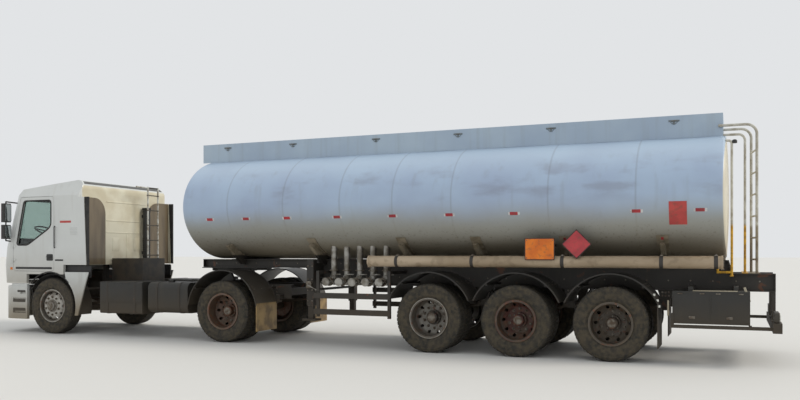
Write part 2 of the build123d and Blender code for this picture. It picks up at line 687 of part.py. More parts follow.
with BuildPart() as headlamps:
    extrude(bumper_plan(lamp_z[0], lamp_sink), amount=lamp_z[1] - lamp_z[0])
    with BuildPart(mode=Mode.PRIVATE) as pockets:
        for side in (-1, 1):
            block((nose_x - 5, nose_x + 50), sorted((side * lamp_y[0], side * lamp_y[1])), lamp_z)
    add(pockets.part, mode=Mode.INTERSECT)
keep(headlamps, "headlamps")

# Mudguards of the tractor: the rear half of the front arch, and round guards with flaps over the pairs
guard_in = wheel_r + 165.0
guard_t = 14.0
guard_y = (twin_y - twin_step / 2 - tyre_width / 2 - 5, body_half - 5)


def round_guard(x, low_turn, high_turn, rail_y, stay_turns):
    """A guard rolled to an arc about the axle, with round stays that reach in to the frame."""
    with BuildPart() as guard:
        with BuildSketch(side_plane(guard_y[1])):
            with BuildLine():
                arcs = [CenterArc((x, wheel_r), r, low_turn, high_turn - low_turn)
                        for r in (guard_in, guard_in + guard_t)]
                Line(arcs[0] @ 0, arcs[1] @ 0)
                Line(arcs[0] @ 1, arcs[1] @ 1)
            make_face()
        extrude(amount=guard_y[1] - guard_y[0])
        for turn in stay_turns:
            px = x + (guard_in - 10) * cos(radians(turn))
            pz = wheel_r + (guard_in - 10) * sin(radians(turn))
            bar((px, rail_y, pz), (px, guard_y[1] - 20, pz), 16)
    return guard.part


fender_top = cab_skirt + 45.0
fender_in = 820.0
with BuildPart() as tractor_mudguards:
    add(round_guard(drive_x, 8, 172, rail_half, (35, 145)))
    flap_x = drive_x + guard_in
    block((flap_x, flap_x + 12), guard_y, (wheel_r - 315, wheel_r + 120))
    with BuildPart(mode=Mode.PRIVATE) as fender:
        slab([(335, fender_top), (905, fender_top), (800, rail_top - 120), (650, wheel_r - 165),
              (500, wheel_r - 165)], cab_half - 35, cab_half)
        bar((arch_x, fender_in, wheel_r), (arch_x, cab_half + 10, wheel_r), arch_r, mode=Mode.SUBTRACT)
        with BuildSketch(side_plane(cab_half)):
            with BuildLine():
                arcs = [CenterArc((arch_x, wheel_r), r, -14, 70) for r in (arch_r, arch_r + 15)]
                Line(arcs[0] @ 0, arcs[1] @ 0)
                Line(arcs[0] @ 1, arcs[1] @ 1)
            make_face()
        extrude(amount=cab_half - fender_in)
    add(fender.part)
    bar((640, rail_half, rail_top - 120), (640, cab_half - 20, rail_top - 120), 18)
    mirror(about=Plane.XZ)
keep(tractor_mudguards, "tractor_mudguards")

# Tanks and boxes hung on the sides of the tractor frame: front end, rear end, bottom and corner radius
side_high = rail_top + 30.0
side_table = [(1130.0, 2100.0, side_high - 580, 30.0), (2230.0, drive_x - guard_in - 70, side_high - 540, 110.0)]
with BuildPart() as side_tanks:
    for low, high, bottom, corner in side_table:
        with BuildPart(mode=Mode.PRIVATE) as tank_box:
            block((low, high), (rail_half + 70, body_half - 90), (bottom, side_high))
            fillet(tank_box.edges().filter_by(Axis.X), corner)
        add(tank_box.part)
        for strap_x in (low + 120, high - 120):
            block((strap_x - 30, strap_x + 30), (rail_half, rail_half + 130), (rail_bottom + 20, rail_top - 120))
    mirror(about=Plane.XZ)
keep(side_tanks, "side_tanks")

rack_x = 1010.0
pole_r = 17.0
pole_ys = (280.0, 580.0)
rack_t = 20.0
locker_top = rail_top + 450.0
with BuildPart() as cab_back_rack:
    block((rack_x - 70, rack_x + 80), (-rail_half, pole_ys[1] + 60), (rail_top, rail_top + rack_t))
    for pole_y in pole_ys:
        bar((rack_x, pole_y, rail_top + rack_t), (rack_x, pole_y, rail_top + 1880), pole_r)
    for i in range(6):
        z = rail_top + 210 + i * 300
        bar((rack_x, pole_ys[0], z), (rack_x, pole_ys[1], z), 10)
    bar((rack_x, pole_ys[1], rail_top + 1860), (rack_x, -60, rail_top + 1860), 14)
    block((cab_back + 25, cab_back + 770), (-rail_half, 200), (rail_top, locker_top))
keep(cab_back_rack, "cab_back_rack")

# Coupling: a round-nosed plate with its entry slot, on two cheeks over a base plate
coupler_t = 48.0
coupler_r = 470.0
coupler_clear = 0.4
trailer_pin_r = 25.4
with BuildPart() as fifth_wheel:
    coupler_top = plate_z - coupler_clear
    with BuildSketch(Plane.XY.offset(coupler_top - coupler_t)):
        with Locations((kingpin_x, 0)):
            Circle(coupler_r)
        with BuildLine():
            Polyline((kingpin_x, -430), (kingpin_x + 520, -330), (kingpin_x + 520, 330), (kingpin_x, 430),
                     close=True)
        make_face()
        with BuildLine():
            Polyline((kingpin_x + 62, -30), (kingpin_x + 530, -170), (kingpin_x + 530, 170), (kingpin_x + 62, 30),
                     close=True)
        make_face(mode=Mode.SUBTRACT)
    extrude(amount=coupler_t)
    cheek_top = coupler_top - coupler_t
    for side in (-1, 1):
        ys = sorted((side * 340, side * 400))
        slab([(kingpin_x - 200, rail_top + 20), (kingpin_x + 200, rail_top + 20), (kingpin_x + 90, cheek_top),
              (kingpin_x - 90, cheek_top)], ys[0], ys[1])
    block((kingpin_x - 330, kingpin_x + 330), (-rail_half, rail_half), (rail_top, rail_top + 20))
    bar((kingpin_x, 0, rail_top + 130), (kingpin_x, 0, plate_z + 50), trailer_pin_r + turning_fit,
        mode=Mode.SUBTRACT)
keep(fifth_wheel, "fifth_wheel")

# Tank: an oval barrel with dished heads, each a tight knuckle and a shallow crown
head_depth = 76.0
knuckle_depth = 46.0
knuckle_width = 64.0


def tank_form(x_front, x_rear, grow=0.0):
    with BuildSketch(cross_plane(x_front)) as oval:
        with Locations((0, tank_z)):
            Ellipse(tank_half_w + grow, tank_half_h + grow)
    return extrude(oval.sketch, amount=x_rear - x_front, mode=Mode.PRIVATE)


def dished_head():
    """A head turned about X from its knuckle and crown arcs, then drawn down to the barrel's oval."""
    knee = (knuckle_depth, tank_half_w - knuckle_width)
    with BuildPart() as dish:
        with BuildSketch():
            with BuildLine():
                Line((0, 0), (0, tank_half_w))
                ThreePointArc((0, tank_half_w), (0.62 * knuckle_depth, tank_half_w - 0.3 * knuckle_width), knee)
                ThreePointArc(knee, (0.75 * head_depth + 0.25 * knuckle_depth, knee[1] / 2), (head_depth, 0))
                Line((head_depth, 0), (0, 0))
            make_face()
        revolve(axis=Axis.X)
    return scale(dish.part, by=(1, 1, tank_half_h / tank_half_w), mode=Mode.PRIVATE)


with BuildPart() as tank:
    add(tank_form(tank_front, tank_rear))
    add(dished_head().moved(Location((tank_rear, 0, tank_z))))
    add(dished_head().moved(Location((tank_front, 0, tank_z), (0, 0, 180))))
keep(tank, "tank")

# Trough along the top: upright walls down to the barrel, a walkway and the manhole necks with their lids
walk_z = tank_z + tank_half_h + 22.0
neck_r = 250.0
neck_top = trough_top - 110.0
lid_t = 30.0
manholes = 5
trough_front = tank_front - 175.0
trough_rear = tank_rear
manhole_step = (trough_rear - trough_front) / manholes
manhole_xs = [trough_front + (i + 0.5) * manhole_step for i in range(manholes)]
lid_gap = 0.4
lid_pin_r = 9.0
lid_pin_z = neck_top + lid_t / 2
lid_hinge_x = neck_r + 30.0
with BuildPart() as trough:
    block((trough_front, trough_rear), (-trough_half, trough_half), (tank_z + 600, trough_top))
    block((trough_front + trough_t, trough_rear - trough_t), (-trough_half + trough_t, trough_half - trough_t),
          (walk_z, trough_top + 10), mode=Mode.SUBTRACT)
    add(tank_form(trough_front - 10, trough_rear + 10), mode=Mode.SUBTRACT)
    block((trough_front - 1, tank_front - 0.5), (-trough_half, trough_half), (tank_z + 500, walk_z - 120),
          mode=Mode.SUBTRACT)
    for x in manhole_xs:
        pin_x = x + lid_hinge_x
        with BuildPart(mode=Mode.PRIVATE) as neck:
            bar((x, 0, walk_z - 1), (x, 0, neck_top), neck_r)
            for y in (-95, 95):
                block((pin_x - 16, pin_x + 16), (y - 15, y + 15), (walk_z - 1, lid_pin_z + 14))
            bar((pin_x, -110, lid_pin_z), (pin_x, 110, lid_pin_z), lid_pin_r)
        add(neck.part)
keep(trough, "trough")

for i, x in enumerate(manhole_xs):
    with BuildPart() as lid:
        bar((x, 0, neck_top + lid_gap), (x, 0, neck_top + lid_t), neck_r + 12)
        pin_x = x + lid_hinge_x
        block((x + neck_r - 60, pin_x), (-55, 55), (neck_top + lid_gap, neck_top + lid_t))
        bar((pin_x, -55, lid_pin_z), (pin_x, 55, lid_pin_z), lid_pin_r + 8)
        bar((pin_x, -70, lid_pin_z), (pin_x, 70, lid_pin_z), lid_pin_r + turning_fit, mode=Mode.SUBTRACT)
        bar((x, 0, neck_top + lid_t), (x, 0, neck_top + lid_t + 28), 120)
    keep(lid, f"manhole_lid_{i + 1}")

# Trailer frame: two deep beams with a neck over the coupling, cross members, saddles and spring hangers
tail_beam_top = beam_top - 180.0
beam_side = [(neck_front, neck_bottom), (neck_end, neck_bottom), (slope_end, beam_bottom),
             (beam_rear, beam_bottom), (beam_rear, tail_beam_top), (tank_rear + 120, tail_beam_top),
             (tank_rear + 70, beam_top), (neck_front, beam_top)]
leg_x = kingpin_x + 1990.0
saddle_xs = [kingpin_x + 450, slope_end + 30, trailer_axle_xs[0] - 556] + [x + 667 for x in trailer_axle_xs]
trailer_cross_xs = [neck_front + 40, kingpin_x + 900, slope_end + 80, trailer_axle_xs[0] - 810]
trailer_cross_xs += [x + trailer_axle_step / 2 for x in trailer_axle_xs] + [beam_rear - 40]
saddle_half = 30.0
pad_half = 80.0
pad_t = 14.0
hanger_half = 60.0
hanger_low = wheel_r + 165.0
hanger_knee = wheel_r + 305.0
with BuildPart() as trailer_frame:
    for y in (-beam_y, beam_y):
        slab(beam_side, y - beam_t / 2, y + beam_t / 2)
        with BuildPart(mode=Mode.PRIVATE) as flanges:
            with BuildSketch(side_plane(y + beam_flange / 2)) as ring:
                with BuildLine():
                    Polyline(*beam_side, close=True)
                make_face()
                offset(amount=-beam_t, kind=Kind.INTERSECTION, mode=Mode.SUBTRACT)
            extrude(amount=beam_flange)
        add(flanges.part)
    for x in trailer_cross_xs:
        z = neck_bottom + 20 if x < slope_end else beam_bottom + 30
        block((x - 40, x + 40), (-beam_y, beam_y), (z, z + 110))
    block((neck_front, kingpin_x + 900), (-560, 560), (plate_z, neck_bottom))
    bar((kingpin_x, 0, plate_z - 84), (kingpin_x, 0, plate_z), trailer_pin_r)
    bar((kingpin_x, 0, plate_z - 84), (kingpin_x, 0, plate_z - 72), 35)
    with BuildPart(mode=Mode.PRIVATE) as saddles:
        for x in saddle_xs:
            saddle = [(-1010, tank_z - 680), (-560, beam_top - 90), (-beam_y, beam_top - 90), (-beam_y, beam_top),
                      (beam_y, beam_top), (beam_y, beam_top - 90), (560, beam_top - 90), (1010, tank_z - 680),
                      (0, tank_z - 420)]
            extrude(outline(cross_plane(x - saddle_half), saddle), amount=2 * saddle_half)
        add(tank_form(tank_front - 100, tank_rear + 100), mode=Mode.SUBTRACT)
    add(saddles.part)
    with BuildPart(mode=Mode.PRIVATE) as pads:
        for x in saddle_xs[1:]:
            for side in (-1, 1):
                block((x - pad_half, x + pad_half), sorted((side * 540, side * 1010)), (beam_top + 20, tank_z - 560))
        add(tank_form(tank_front, tank_rear, pad_t), mode=Mode.INTERSECT)
        add(tank_form(tank_front - 100, tank_rear + 100), mode=Mode.SUBTRACT)
    add(pads.part)
    for i in range(4):
        x = trailer_axle_xs[0] + (i - 0.5) * trailer_axle_step
        for y in (-beam_y, beam_y):
            slab([(x - 110, beam_bottom), (x + 110, beam_bottom), (x + hanger_half, hanger_knee),
                  (x + hanger_half, hanger_low), (x - hanger_half, hanger_low), (x - hanger_half, hanger_knee)],
                 y - 50, y + 50)
keep(trailer_frame, "trailer_frame")

with BuildPart() as trailer_axles:
    for x in trailer_axle_xs:
        with BuildPart(mode=Mode.PRIVATE) as axle:
            tube = [(0, 0), (0, tube_r), (tube_end, tube_r), (tube_end, spindle_r),
                    (twin_y + twin_bore_end - 8, spindle_r), (twin_y + twin_bore_end - 8, 0)]
            with BuildSketch(wheel_plane(x, 0, 1)):
                with BuildLine():
                    Polyline(*tube, close=True)
                make_face()
            revolve(axis=axle_line(x, 0))
            mirror(about=Plane.XZ)
        add(axle.part)

with BuildPart() as trailer_suspension:
    add(trailer_axles.part)
    for x in trailer_axle_xs:
        for y in (-trailer_spring_y, trailer_spring_y):
            add(leaf_spring(x, y, trailer_axle_step / 2 - hanger_half - spring_t / 2 - seat_gap,
                            wheel_r + tube_r - spring_sink, hanger_low + 40))
keep(trailer_suspension, "trailer_suspension")

with BuildPart() as trailer_mudguards:
    for x in trailer_axle_xs:
        add(round_guard(x, 24, 156, beam_y + beam_t / 2, (50, 130)))
    flap_x = trailer_axle_xs[-1] + guard_in * cos(radians(24))
    block((flap_x - 8, flap_x + 4), guard_y, (wheel_r - 315, wheel_r + guard_in * sin(radians(24)) + 4))
    mirror(about=Plane.XZ)
keep(trailer_mudguards, "trailer_mudguards")

# Landing legs, retracted, with their cross shaft and feet
leg_y = beam_y + 330.0
leg_half = 62.0
with BuildPart() as landing_gear:
    block((leg_x - leg_half, leg_x + leg_half), (leg_y - leg_half, leg_y + leg_half),
          (beam_bottom - 340, beam_top - 10))
    block((leg_x - 46, leg_x + 46), (leg_y - 46, leg_y + 46), (beam_bottom - 560, beam_bottom - 340))
    block((leg_x - 120, leg_x + 120), (leg_y - 110, leg_y + 110), (beam_bottom - 590, beam_bottom - 560))
    block((leg_x - 50, leg_x + 50), (beam_y + beam_t / 2, leg_y - leg_half), (beam_bottom + 130, beam_top - 60))
    bar((leg_x, 0, beam_bottom - 80), (leg_x, leg_y - 40, beam_bottom - 80), 22)
    mirror(about=Plane.XZ)
keep(landing_gear, "landing_gear")

guard_rail_y = (body_half - 120, body_half - 90)
guard_post_xs = (leg_x + 300, trailer_axle_xs[0] - 690)
guard_rail_zs = (570.0, 830.0)
with BuildPart() as side_guards:
    for z in guard_rail_zs:
        block((guard_post_xs[0] - 60, guard_post_xs[1] + 40), guard_rail_y, (z - 45, z + 45))
    for x in guard_post_xs:
        block((x - 25, x + 25), (guard_rail_y[0] - 40, guard_rail_y[0]), (guard_rail_zs[0] - 85, beam_bottom + 200))
        block((x - 25, x + 25), (beam_y + beam_t / 2, guard_rail_y[0]), (beam_bottom + 200, beam_bottom + 250))
    mirror(about=Plane.XZ)
keep(side_guards, "side_guards")

# Hose tubes along both sides, on arms from the beams, with a strap at each arm
hose_r = 86.0
hose_y = body_half - 150.0
hose_z = beam_top - 22.0
hose_xs = (trailer_axle_xs[0] - 1030, tank_rear)
strap_xs = saddle_xs[2:] + [tank_rear - 77]
with BuildPart() as hose_tubes:
    bar((hose_xs[0], hose_y, hose_z), (hose_xs[1], hose_y, hose_z), hose_r)
    for x in hose_xs:
        bar((x - 12, hose_y, hose_z), (x + 12, hose_y, hose_z), hose_r + 8)
    for x in strap_xs:
        bar((x - 20, hose_y, hose_z), (x + 20, hose_y, hose_z), hose_r + 5)
        block((x + saddle_half, x + saddle_half + 30), (beam_y + beam_t / 2, hose_y), (hose_z - 60, hose_z - 12))
    mirror(about=Plane.XZ)
keep(hose_tubes, "hose_tubes")

# Rear: the ladder that bends over to the trough, two pipes beside it, tool boxes and the rear bar
# Each stile has its place along, its place across and how far forward it reaches: beside the trough, or up to it
ladder_r = 19.0
stile_table = [(tail_x - 285, 3.0 - trough_half - ladder_r, trough_rear - 60), (tail_x - 350, -40.0, trough_rear)]
ladder_feet = [(x, y) for x, y, _ in stile_table]
ladder_top = trough_top - 185.0
foot_z = tail_beam_top + beam_t
rung_step = 305.0
pipe_r = 17.0
drain_foot = (tail_x - 436, -400.0)
drain_top = walk_z - 62.0
vent_foot = (tank_rear + 115, -620.0)
vent_top = tank_z + 750.0
vent_low = tail_beam_top - 28.0


def bent_pipe(points, r, bend):
    """A round pipe along straight runs joined by arcs of one radius, started at its first point."""
    with BuildLine() as path:
        FilletPolyline(*points, radius=bend)
    start = path.line @ 0
    with BuildSketch(Plane(origin=start, z_dir=path.line % 0)) as ring:
        Circle(r)
    with BuildPart() as pipe:
        sweep(ring.sketch, path=path.line)
    return pipe.part


with BuildPart() as rear_ladder:
    for x, y, reach_x in stile_table:
        add(bent_pipe([(x, y, foot_z - 7), (x, y, ladder_top), (reach_x, y, ladder_top)], ladder_r, 140))
    block((trough_rear - 100, trough_rear), (-trough_half, trough_half), (tank_z + 600, trough_top),
          mode=Mode.SUBTRACT)
    for i in range(6):
        z = beam_top + 15 + i * rung_step
        bar((*ladder_feet[0], z), (*ladder_feet[1], z), 13)
    block((drain_foot[0] - 40, ladder_feet[0][0] + 40), (-beam_y - beam_flange / 2, beam_y + beam_flange / 2),
          (tail_beam_top, foot_z))
    drain_x, drain_y = drain_foot
    vent_x, vent_y = vent_foot
    add(bent_pipe([(drain_x, drain_y, foot_z - 7), (drain_x, drain_y, drain_top), (trough_rear, drain_y, drain_top)],
                  pipe_r, 90))
    add(bent_pipe([(vent_x, vent_y, vent_low), (vent_x, vent_y, vent_top), (tank_rear, vent_y, vent_top)],
                  pipe_r, 45))
    bar((vent_x, vent_y, vent_low + 45), (vent_x - 195, vent_y, vent_low + 45), pipe_r)
    bar((vent_x - 180, vent_y, vent_low + 30), (vent_x - 180, vent_y, vent_low + 95), pipe_r)
    block((vent_x - 25, vent_x + 25), (vent_y - 25, -beam_y - beam_t / 2), (vent_low - 12, vent_low))
    add(tank.part, mode=Mode.SUBTRACT)
keep(rear_ladder, "rear_ladder")

box_low = 560.0
box_high = 1000.0
box_xs = (trailer_axle_xs[-1] + 810, tail_x - 380)
with BuildPart() as tool_boxes:
    block(box_xs, (beam_y + 170, body_half - 100), (box_low, box_high))
    block((box_xs[0] - 20, tail_x - 110), (body_half - 130, body_half - 90), (box_low - 60, box_low - 15))
    block((box_xs[0] - 20, box_xs[0] + 20), (body_half - 130, body_half - 90), (box_low - 15, box_low + 140))
    block((box_xs[1] - 20, box_xs[1] + 20), (body_half - 130, body_half - 100), (box_low - 15, box_low))
    for x in (box_xs[0] + 230, box_xs[1] - 170):
        block((x - 30, x + 30), (beam_y + beam_t / 2, body_half - 160), (box_high, box_high + 60))
    mirror(about=Plane.XZ)
keep(tool_boxes, "tool_boxes")

with BuildPart() as rear_bumper:
    block((tail_x - 110, tail_x), (-1200, 1200), (470, 600))
    for y in (-beam_y, beam_y):
        block((tail_x - 100, tail_x - 50), (y - 40, y + 40), (600, beam_bottom))
keep(rear_bumper, "rear_bumper")

# Discharge pipes under the barrel, one for each compartment, turned out to the left side
valve_pitch = 237.0
valve_xs = [leg_x + 410 + i * valve_pitch for i in range(manholes)]
valve_y = -760.0
valve_z = beam_bottom + 70.0
coupling_r = 66.0
with BuildPart() as discharge_valves:
    for x in valve_xs:
        bar((x, valve_y, valve_z), (x, valve_y, tank_z - 620), 50)
        bar((x, valve_y, valve_z), (x, -1040, valve_z), 50)
        bar((x, -1040, valve_z), (x, -1075, valve_z), coupling_r)
        with Locations((x, valve_y, valve_z)):
            Sphere(62)
    add(tank_form(tank_front, tank_rear), mode=Mode.SUBTRACT)
keep(discharge_valves, "discharge_valves")
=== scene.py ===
"""Looks for the articulated road tanker: a tilting-cab tractor hinged to a three-axle tank trailer.

Metres, +Z up. Forward is -X and the left side is -Y. Frame parts whose shape is right keep their mesh and get
a finish here. Tyres, the barrel, the seats and all trim are new surfaces worked out with numpy.
"""

import json
import math

import bpy
import numpy as np
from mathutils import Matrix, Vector


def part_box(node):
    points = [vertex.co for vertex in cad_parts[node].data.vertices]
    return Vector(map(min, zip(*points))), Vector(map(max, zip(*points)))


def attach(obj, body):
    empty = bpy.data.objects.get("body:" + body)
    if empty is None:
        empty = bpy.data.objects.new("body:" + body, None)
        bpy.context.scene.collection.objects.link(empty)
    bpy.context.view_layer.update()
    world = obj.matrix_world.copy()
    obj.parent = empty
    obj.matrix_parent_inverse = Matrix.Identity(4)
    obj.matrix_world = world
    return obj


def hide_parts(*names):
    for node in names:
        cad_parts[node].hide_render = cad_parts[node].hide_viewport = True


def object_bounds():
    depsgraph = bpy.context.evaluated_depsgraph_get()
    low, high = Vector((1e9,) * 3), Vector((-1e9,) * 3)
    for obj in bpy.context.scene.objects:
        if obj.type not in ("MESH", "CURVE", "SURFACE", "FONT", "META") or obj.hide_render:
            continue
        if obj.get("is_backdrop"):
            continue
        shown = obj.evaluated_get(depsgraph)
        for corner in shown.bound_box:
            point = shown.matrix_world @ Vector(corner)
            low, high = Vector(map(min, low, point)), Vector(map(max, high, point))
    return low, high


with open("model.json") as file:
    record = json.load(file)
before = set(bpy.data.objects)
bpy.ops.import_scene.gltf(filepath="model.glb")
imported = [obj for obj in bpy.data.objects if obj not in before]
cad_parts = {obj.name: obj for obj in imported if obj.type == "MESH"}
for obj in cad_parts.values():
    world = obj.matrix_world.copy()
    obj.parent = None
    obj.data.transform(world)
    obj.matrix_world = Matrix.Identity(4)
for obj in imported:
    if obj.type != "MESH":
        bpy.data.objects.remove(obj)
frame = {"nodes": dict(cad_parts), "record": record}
nodes = frame["nodes"]
cad_low, cad_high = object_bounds()
SIDES = (("left", -1.0), ("right", 1.0))


def middle(node):
    """The centre of a frame part's box."""
    low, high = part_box(node)
    return (np.array(low) + np.array(high)) / 2


FRONT_AXLE = middle("front_left_rim")[0]
DRIVE_AXLE = middle("drive_left_rims")[0]
TRAILER_AXLES = [middle(f"trailer_axle{i}_left_rims")[0] for i in (1, 2, 3)]
WHEEL_R = middle("front_left_rim")[2]


def aft(x):
    """A place along the vehicle, from its distance behind the front axle."""
    return FRONT_AXLE + x


# Camera first: level, at eye height, at the photograph's viewing angle
camera_data = bpy.data.cameras.new("camera")
camera_data.sensor_width = 36.0
camera_data.lens = 36.0
camera_data.shift_y = 0.0679
camera_data.clip_end = 1000.0
camera = bpy.data.objects.new("camera", camera_data)
bpy.context.scene.collection.objects.link(camera)
camera.location = (6.325, -12.584, 1.496)
camera.rotation_euler = (math.radians(90), 0.0, math.radians(22.72))
bpy.context.scene.camera = camera
bpy.context.scene.view_settings.view_transform = "Standard"


def srgb(red, green, blue):
    """A display colour from 0 to 255 as the linear colour that a shader takes."""
    share = np.array([red, green, blue]) / 255.0
    linear = np.where(share <= 0.04045, share / 12.92, ((share + 0.055) / 1.055) ** 2.4)
    return (*linear.tolist(), 1.0)


class Finish:
    """A procedural material in Object coordinates, built up from a few named operations."""

    def __init__(self, name, roughness, metallic=0.0, specular=0.5, coat=0.0):
        self.material = bpy.data.materials.new(name)
        self.material.use_nodes = True
        self.tree = self.material.node_tree
        self.shader = self.tree.nodes["Principled BSDF"]
        self.shader.inputs["Roughness"].default_value = roughness
        self.shader.inputs["Metallic"].default_value = metallic
        self.shader.inputs["Specular IOR Level"].default_value = specular
        self.shader.inputs["Coat Weight"].default_value = coat
        self.place = self.add("ShaderNodeTexCoord").outputs["Object"]

    def add(self, kind, **links):
        """A new node whose named inputs are joined to sockets or set to values."""
        node = self.tree.nodes.new(kind)
        for key, value in links.items():
            self.feed(node.inputs[key.replace("_", " ")], value)
        return node

    def feed(self, socket, value):
        if isinstance(value, bpy.types.NodeSocket):
            self.tree.links.new(value, socket)
        else:
            socket.default_value = value

    def noise(self, scale, detail=4.0, stretch=(1.0, 1.0, 1.0), shift=(0.0, 0.0, 0.0), warp=0.0):
        """Fractal noise from about 0.3 to 0.7; a stretch below one draws the grain out along that axis."""
        spot = self.add("ShaderNodeMapping", Vector=self.place, Scale=stretch, Location=shift)
        grain = self.add("ShaderNodeTexNoise", Vector=spot.outputs[0], Scale=scale, Detail=detail, Distortion=warp)
        return grain.outputs["Fac"]

    def axis(self, letter):
        return self.add("ShaderNodeSeparateXYZ", Vector=self.place).outputs[letter]

    def attribute(self, name):
        node = self.add("ShaderNodeAttribute")
        node.attribute_name = name
        return node.outputs["Fac"]

    def band(self, value, low, high):
        """Smooth step from 0 at low to 1 at high; a low above high turns it round."""
        turned = low > high
        node = self.add("ShaderNodeMapRange", Value=value)
        node.interpolation_type = "SMOOTHSTEP"
        node.inputs["From Min"].default_value = min(low, high)
        node.inputs["From Max"].default_value = max(low, high)
        node.inputs["To Min"].default_value = 1.0 if turned else 0.0
        node.inputs["To Max"].default_value = 0.0 if turned else 1.0
        return node.outputs[0]

    def sum(self, operation, first, second=0.0):
        node = self.add("ShaderNodeMath")
        node.operation = operation
        self.feed(node.inputs[0], first)
        self.feed(node.inputs[1], second)
        return node.outputs[0]

    def both(self, first, second):
        return self.sum("MULTIPLY", first, second)

    def within(self, letter, low, high, soft=0.01):
        """One between two places on an axis, with soft edges."""
        value = self.axis(letter)
        return self.both(self.band(value, low - soft, low + soft), self.band(value, high + soft, high - soft))

    def blend(self, share, first, second):
        """From the first colour where share is 0 to the second where it is 1."""
        node = self.add("ShaderNodeMix")
        node.data_type = "RGBA"
        self.feed(node.inputs[0], share)
        self.feed(node.inputs[6], first)
        self.feed(node.inputs[7], second)
        return node.outputs[2]

    def mottled(self, light, dark, scale, detail=5.0, low=0.35, high=0.65, **grain):
        """Two shades in soft patches of a noise, the second where the noise is high."""
        return self.blend(self.band(self.noise(scale, detail, **grain), low, high), light, dark)

    def colour(self, value):
        self.feed(self.shader.inputs["Base Color"], value)

    def rough(self, value):
        self.feed(self.shader.inputs["Roughness"], value)

    def relief(self, height, distance, strength=1.0):
        node = self.add("ShaderNodeBump", Height=height, Distance=distance, Strength=strength)
        self.feed(self.shader.inputs["Normal"], node.outputs[0])


def weathered(paint, clean, dusty, dust_low, dust_high, streak=0.25, fade=0.86):
    """Paint faded in clouds, streaked downwards, with dust that thickens towards the ground."""
    cloud = paint.band(paint.noise(1.3, 5.0, shift=(3.0, 1.0, 0.0)), 0.35, 0.7)
    faded = paint.blend(cloud, clean, tuple(fade * c for c in clean[:3]) + (1.0,))
    runs = paint.band(paint.noise(9.0, 3.0, stretch=(1.0, 1.0, 0.09)), 0.5, 0.75)
    streaked = paint.blend(paint.both(runs, streak), faded, dusty)
    ragged = paint.sum("ADD", paint.axis("Z"), paint.both(paint.noise(2.2, 6.0), 0.35))
    dust = paint.band(ragged, dust_high + 0.17, dust_low + 0.17)
    return paint.blend(dust, streaked, dusty), dust


def chipped(paint, colour, bare, scale, amount):
    """Small ragged chips through to another colour, in clusters where a broad noise is high."""
    cluster = paint.band(paint.noise(3.1, 3.0, shift=(7.0, 2.0, 5.0)), 0.62 - amount, 0.75 - amount)
    chip = paint.band(paint.noise(scale, 5.0, warp=0.6), 0.6, 0.64)
    return paint.blend(paint.both(cluster, chip), colour, bare)


def painted(name, clean, dusty, dust_low, dust_high, roughness=0.45, streak=0.25, coat=0.0, bare=None, chips=0.0):
    """Sprayed paint with weather, dust and, where a bare colour is given, chips."""
    paint = Finish(name, roughness, coat=coat)
    colour, dust = weathered(paint, clean, dusty, dust_low, dust_high, streak)
    if bare:
        colour = chipped(paint, colour, bare, 34.0, chips)
    paint.colour(colour)
    paint.rough(paint.sum("ADD", paint.both(dust, 0.3), roughness))
    paint.relief(paint.noise(260.0, 2.0), 0.0004)
    return paint.material


RUST = srgb(104, 62, 38)
DARK_DUST = srgb(88, 76, 60)
ROOF_RISE = 0.1026  # the cab roof climbs by this much for each metre towards the back


